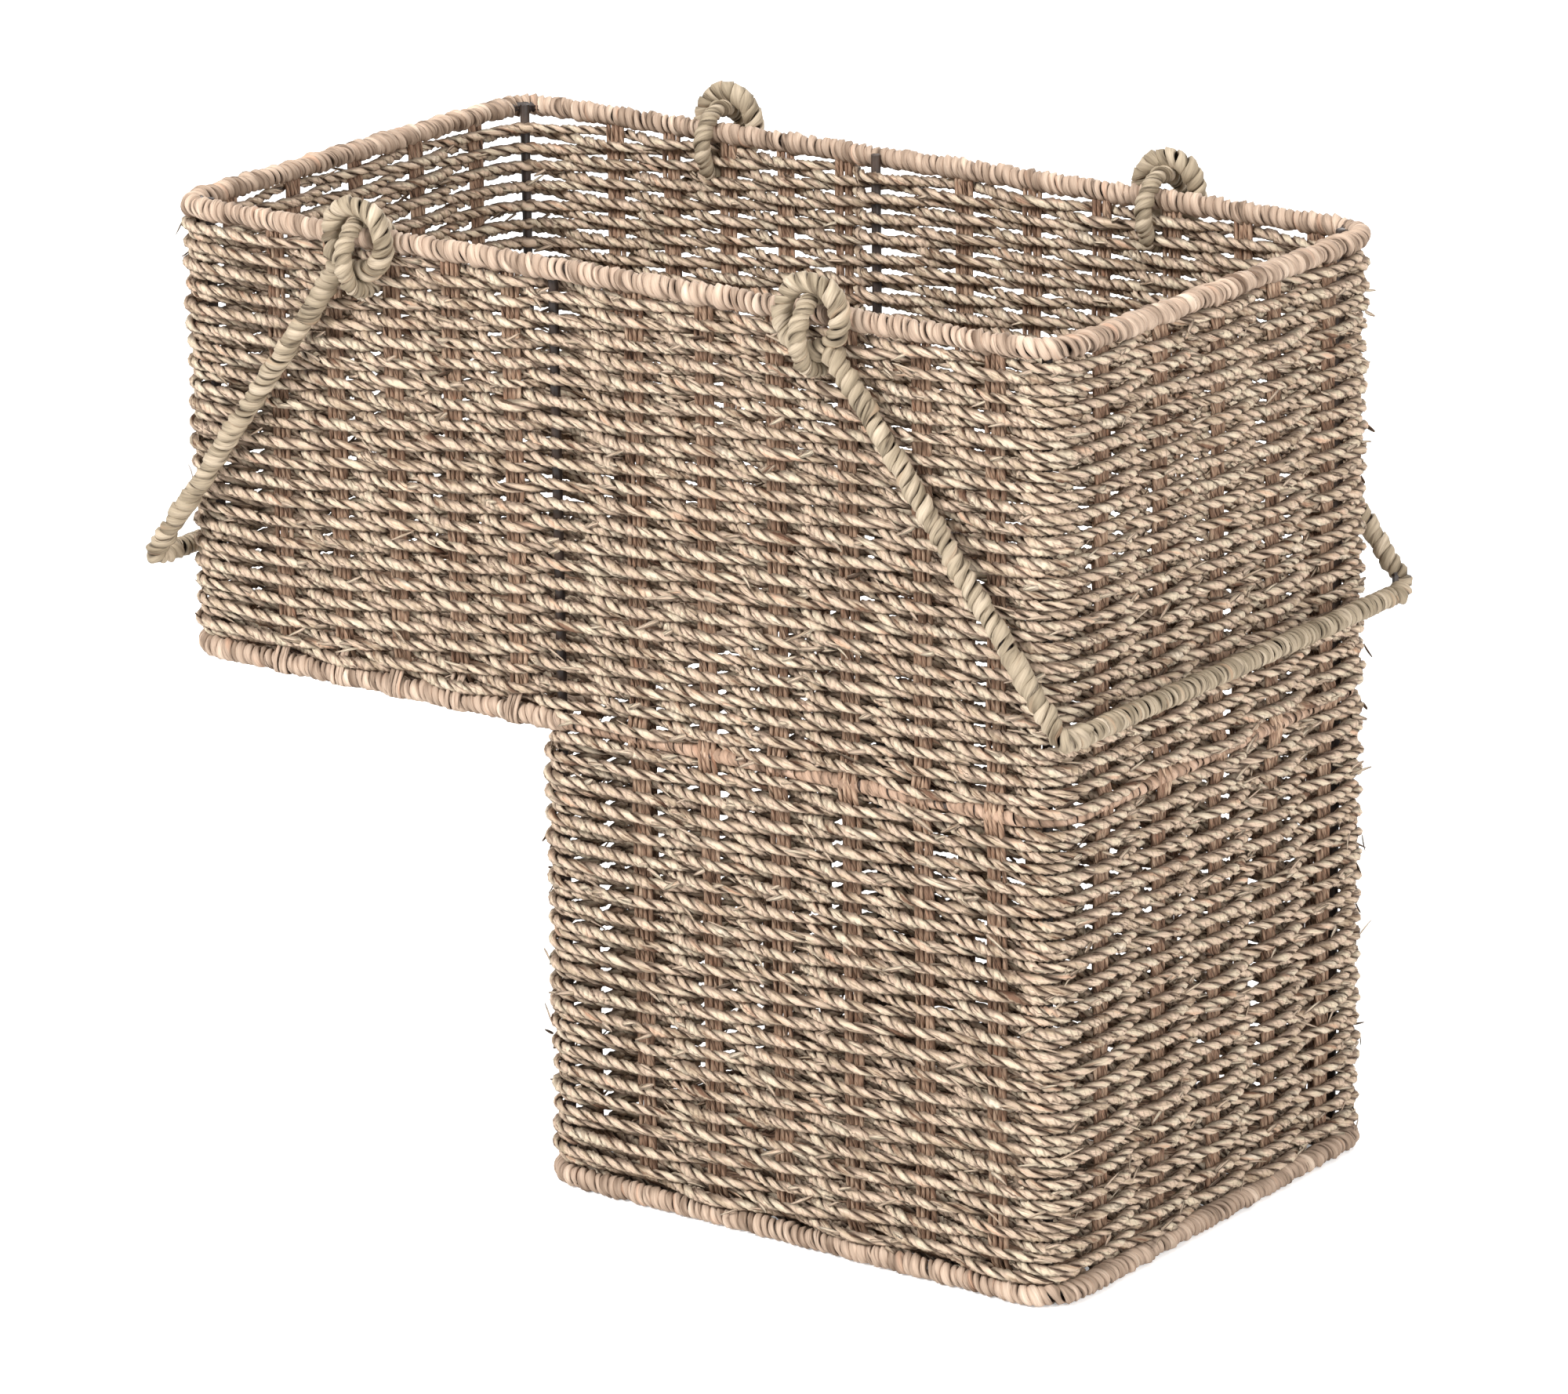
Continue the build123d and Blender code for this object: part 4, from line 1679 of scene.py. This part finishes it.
@dataclass
class Posts:
    """Bare round wire posts of the frame."""

    nodes: tuple[str, ...] = ("left_corner_posts", "right_corner_posts", "riser_posts")
    sides: int = 20
    bevel_share: float = 0.3
    end_slope: float = 0.9
    smooth_angle: float = math.radians(40)

    def build(self, material: bpy.types.Material) -> dict[str, bpy.types.Object]:
        """Model each pair of posts.

        Args:
            material: Their finish.

        Returns:
            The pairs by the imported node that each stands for.
        """
        made = {}
        for node in self.nodes:
            low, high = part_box(node)
            radius = (high.x - low.x) / 2
            rods = [self.rod(y, low, high, radius) for y in (low.y + radius, high.y - radius)]
            bpy.ops.object.select_all(action="DESELECT")
            for rod in rods:
                rod.select_set(True)
            bpy.context.view_layer.objects.active = rods[0]
            bpy.ops.object.join()
            post = bpy.context.view_layer.objects.active
            bpy.ops.object.transform_apply(location=True, rotation=True, scale=True)
            post.name = f"{node}_round"
            post.data.materials.clear()
            post.data.materials.append(material)
            made[node] = post
        return made

    def rod(self, y: float, low: Vector, high: Vector, radius: float) -> bpy.types.Object:
        """One upright rod with bevelled ends.

        Args:
            y: Its place across the basket.
            low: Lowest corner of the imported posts' box.
            high: Highest corner of that box.
            radius: Radius of the wire.

        Returns:
            The rod.
        """
        bpy.ops.object.select_all(action="DESELECT")
        middle = ((low.x + high.x) / 2, y, (low.z + high.z) / 2)
        bpy.ops.mesh.primitive_cylinder_add(
            vertices=self.sides, radius=radius, depth=high.z - low.z, location=middle
        )
        rod = bpy.context.active_object
        bpy.ops.object.mode_set(mode="EDIT")
        bpy.ops.mesh.select_all(action="DESELECT")
        bpy.ops.object.mode_set(mode="OBJECT")
        for face in rod.data.polygons:
            face.select = abs(face.normal.z) > self.end_slope
        bpy.ops.object.mode_set(mode="EDIT")
        bpy.ops.mesh.bevel(offset=radius * self.bevel_share, segments=2)
        bpy.ops.object.mode_set(mode="OBJECT")
        bpy.ops.object.shade_smooth_by_angle(angle=self.smooth_angle)
        return rod


@dataclass
class LooseFibres:
    """Ends of grass that stick out of the weave."""

    weave: Weave
    count: int = 2600
    sides: int = 3
    steps: int = 5
    outside_share: float = 0.7
    ahead_share: float = 0.6
    rope_radius: float = 2.3 * MM
    tilt_rise: float = 1.6 * MM
    tilt_heading: float = 0.55
    lengths: tuple[float, float] = (3.5, 9.5)
    lifts: tuple[float, float] = (0.02, 0.3)
    curve: float = 1.7
    thick: float = 0.25 * MM
    widths: tuple[float, float] = (0.5, 1.35)
    tip: float = 0.35
    taper_start: float = 0.25
    taper_run: float = 0.72

    def build(self, material: bpy.types.Material) -> bpy.types.Object:
        """Scatter thin curved ends over the rows of weft.

        Args:
            material: Their finish.

        Returns:
            All ends as one piece.
        """
        rng = np.random.default_rng(SEED + 90)
        maker = MeshMaker()
        rows = self.weave.rows()
        tracks = [self.weave.row(row, np.random.default_rng(SEED * 1000 + row)) for row in rows]
        for _ in range(self.count):
            track = tracks[rng.integers(len(tracks))]
            self.fibre(maker, track, int(rng.integers(2, len(track.points) - 2)), rng)
        return maker.piece("loose_grass_ends", material)

    def fibre(self, maker: MeshMaker, track: Track, index: int, rng: np.random.Generator) -> None:
        """One tapered end.

        Args:
            maker: The mesh that takes it.
            track: Centre line of the rope that it leaves.
            index: Number of the point where it leaves.
            rng: Source of its shape.
        """
        outward = track.out[index] * (1 if rng.uniform() < self.outside_share else -1)
        ahead = track.points[index + 1] - track.points[index - 1]
        ahead = ahead / np.linalg.norm(ahead) * (1 if rng.uniform() < self.ahead_share else -1)
        tilt = rng.uniform(-1.0, 1.0)
        start = track.points[index] + outward * self.rope_radius + np.array([0, 0, tilt * self.tilt_rise])
        length = rng.uniform(*self.lengths) * MM
        lift = rng.uniform(*self.lifts)
        share = np.linspace(0, 1, self.steps)[:, None]
        heading = ahead + np.array([0, 0, tilt * self.tilt_heading])
        points = start + heading * length * share + outward * (length * lift * share**self.curve)
        strand = Strand(0.0, self.thick, rng.uniform(*self.widths) * MM, sides=self.sides)
        swell = np.sin(math.pi * (self.taper_start + self.taper_run * share[:, 0]))
        taper = self.tip + (1 - self.tip) * swell
        maker.sweep_plain(Track(points, np.tile(outward, (self.steps, 1))), strand, taper, rng)


@dataclass
class Studio:
    """Pale floor, soft lights and the camera."""

    eye: tuple[float, float, float] = (1.612, -2.179, 1.030)
    yaw: float = -36.41
    pitch: float = 17.43
    roll: float = -0.72
    lens: float = 162.5
    sensor: float = 36.0
    far: float = 50.0
    floor_size: float = 14.0
    surroundings: float = 0.35

    def build(self) -> None:
        """Set the whole studio."""
        self.floor()
        self.lamp("key", at=(-0.9, -2.6, 2.2), towards=(0.0, 0.0, 0.2), size=0.8, power=129.0)
        self.lamp("fill", at=(2.6, -1.0, 1.4), towards=(0.0, 0.0, 0.2), size=1.4, power=66.0)
        self.lamp("top", at=(0.2, 0.4, 2.8), towards=(0.0, 0.0, 0.1), size=1.8, power=40.0)
        self.lamp("back", at=(-0.6, 2.8, 1.5), towards=(0.0, 0.0, 0.2), size=1.6, power=46.0)
        self.world()
        self.camera()
        bpy.context.scene.view_settings.view_transform = "Standard"

    def floor(self) -> None:
        """Wide paper floor under the object."""
        bpy.ops.object.select_all(action="DESELECT")
        bpy.ops.mesh.primitive_plane_add(size=self.floor_size, location=(0, 0, 0))
        paper = bpy.context.active_object
        paper.name = "studio_floor"
        paper.data.materials.append(StudioFinish().build())
        paper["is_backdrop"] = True

    def lamp(self, name: str, at: tuple, towards: tuple, size: float, power: float) -> None:
        """Add one soft square lamp.

        Args:
            name: The lamp's name.
            at: Its place.
            towards: The point that it faces.
            size: Length of its side.
            power: Its power in watts.
        """
        light = bpy.data.lights.new(name, "AREA")
        light.shape = "SQUARE"
        light.size = size
        light.energy = power
        lamp = bpy.data.objects.new(name, light)
        lamp.location = at
        lamp.rotation_euler = (Vector(towards) - Vector(at)).to_track_quat("-Z", "Y").to_euler()
        bpy.context.scene.collection.objects.link(lamp)
        lamp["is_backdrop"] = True

    def world(self) -> None:
        """Even pale surroundings that are white where they are seen."""
        world = bpy.data.worlds.new("studio")
        bpy.context.scene.world = world
        board = NodeBoard(world)
        strength = board.add("ShaderNodeMapRange", Value=board.seen(), To_Min=self.surroundings, To_Max=1.0)
        background = board.add("ShaderNodeBackground", Color=WHITE, Strength=strength.outputs[0])
        board.add("ShaderNodeOutputWorld", Surface=background.outputs[0])

    def camera(self) -> None:
        """Long lens, looking down on the front right corner."""
        yaw, pitch, roll = (math.radians(angle) for angle in (self.yaw, self.pitch, self.roll))
        flat = math.cos(pitch)
        forward = Vector((math.sin(yaw) * flat, math.cos(yaw) * flat, -math.sin(pitch)))
        level = Vector((math.cos(yaw), -math.sin(yaw), 0))
        upright = level.cross(forward)
        right = level * math.cos(roll) + upright * math.sin(roll)
        up = upright * math.cos(roll) - level * math.sin(roll)
        data = bpy.data.cameras.new("camera")
        data.lens = self.lens
        data.sensor_width = self.sensor
        data.clip_end = self.far
        camera = bpy.data.objects.new("camera", data)
        rotation = Matrix((right, up, -forward)).transposed()
        camera.matrix_world = Matrix.Translation(Vector(self.eye)) @ rotation.to_4x4()
        bpy.context.scene.collection.objects.link(camera)
        bpy.context.scene.camera = camera


def main() -> None:
    """Build every sub-assembly in order."""
    logging.basicConfig(level=logging.INFO, format="%(name)s %(message)s")
    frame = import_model()
    bpy.ops.object.select_all(action="DESELECT")
    layout = Layout.read()

    grass, pale, handle = GRASS.build(), PALE_RUSH.build(), HANDLE_RUSH.build()
    paper, strip, wire = PAPER_CORD.build(), BOUND_STRIP.build(), WireFinish().build()
    for node in frame["nodes"].values():
        node.data.materials.clear()
        node.data.materials.append(wire)

    weave = Weave(layout)
    walls = weave.walls(grass)
    for piece in walls:
        join_body(piece, Body.BASKET)
    woven = [name for name in frame["nodes"] if name.startswith("weave_") and not name.endswith("floor")]
    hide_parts(*woven)
    settle(weave.floors(grass), Body.BASKET)
    settle(Stakes(layout).build(paper), Body.BASKET)
    settle(Bindings(layout).build(pale), Body.BASKET)
    join_body(Bindings(layout).hidden_hoop(strip), Body.BASKET)
    settle(Posts().build(wire), Body.BASKET)
    for side, body in (("right", Body.RIGHT_HANDLE), ("left", Body.LEFT_HANDLE)):
        settle(Hangers(side).build(handle), Body.BASKET)
        joint = next(j for j in frame["joints"] if j["child"] == body.value)
        settle(Handle(side, Vector(joint["pos_m"])).build(handle), body)
    join_body(LooseFibres(weave).build(grass), Body.BASKET)

    Studio().build()
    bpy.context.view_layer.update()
    faces = sum(len(o.data.polygons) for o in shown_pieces() if o.type == "MESH")
    LOG.info("faces in all: %d", faces)


if __name__ == "__main__":
    main()
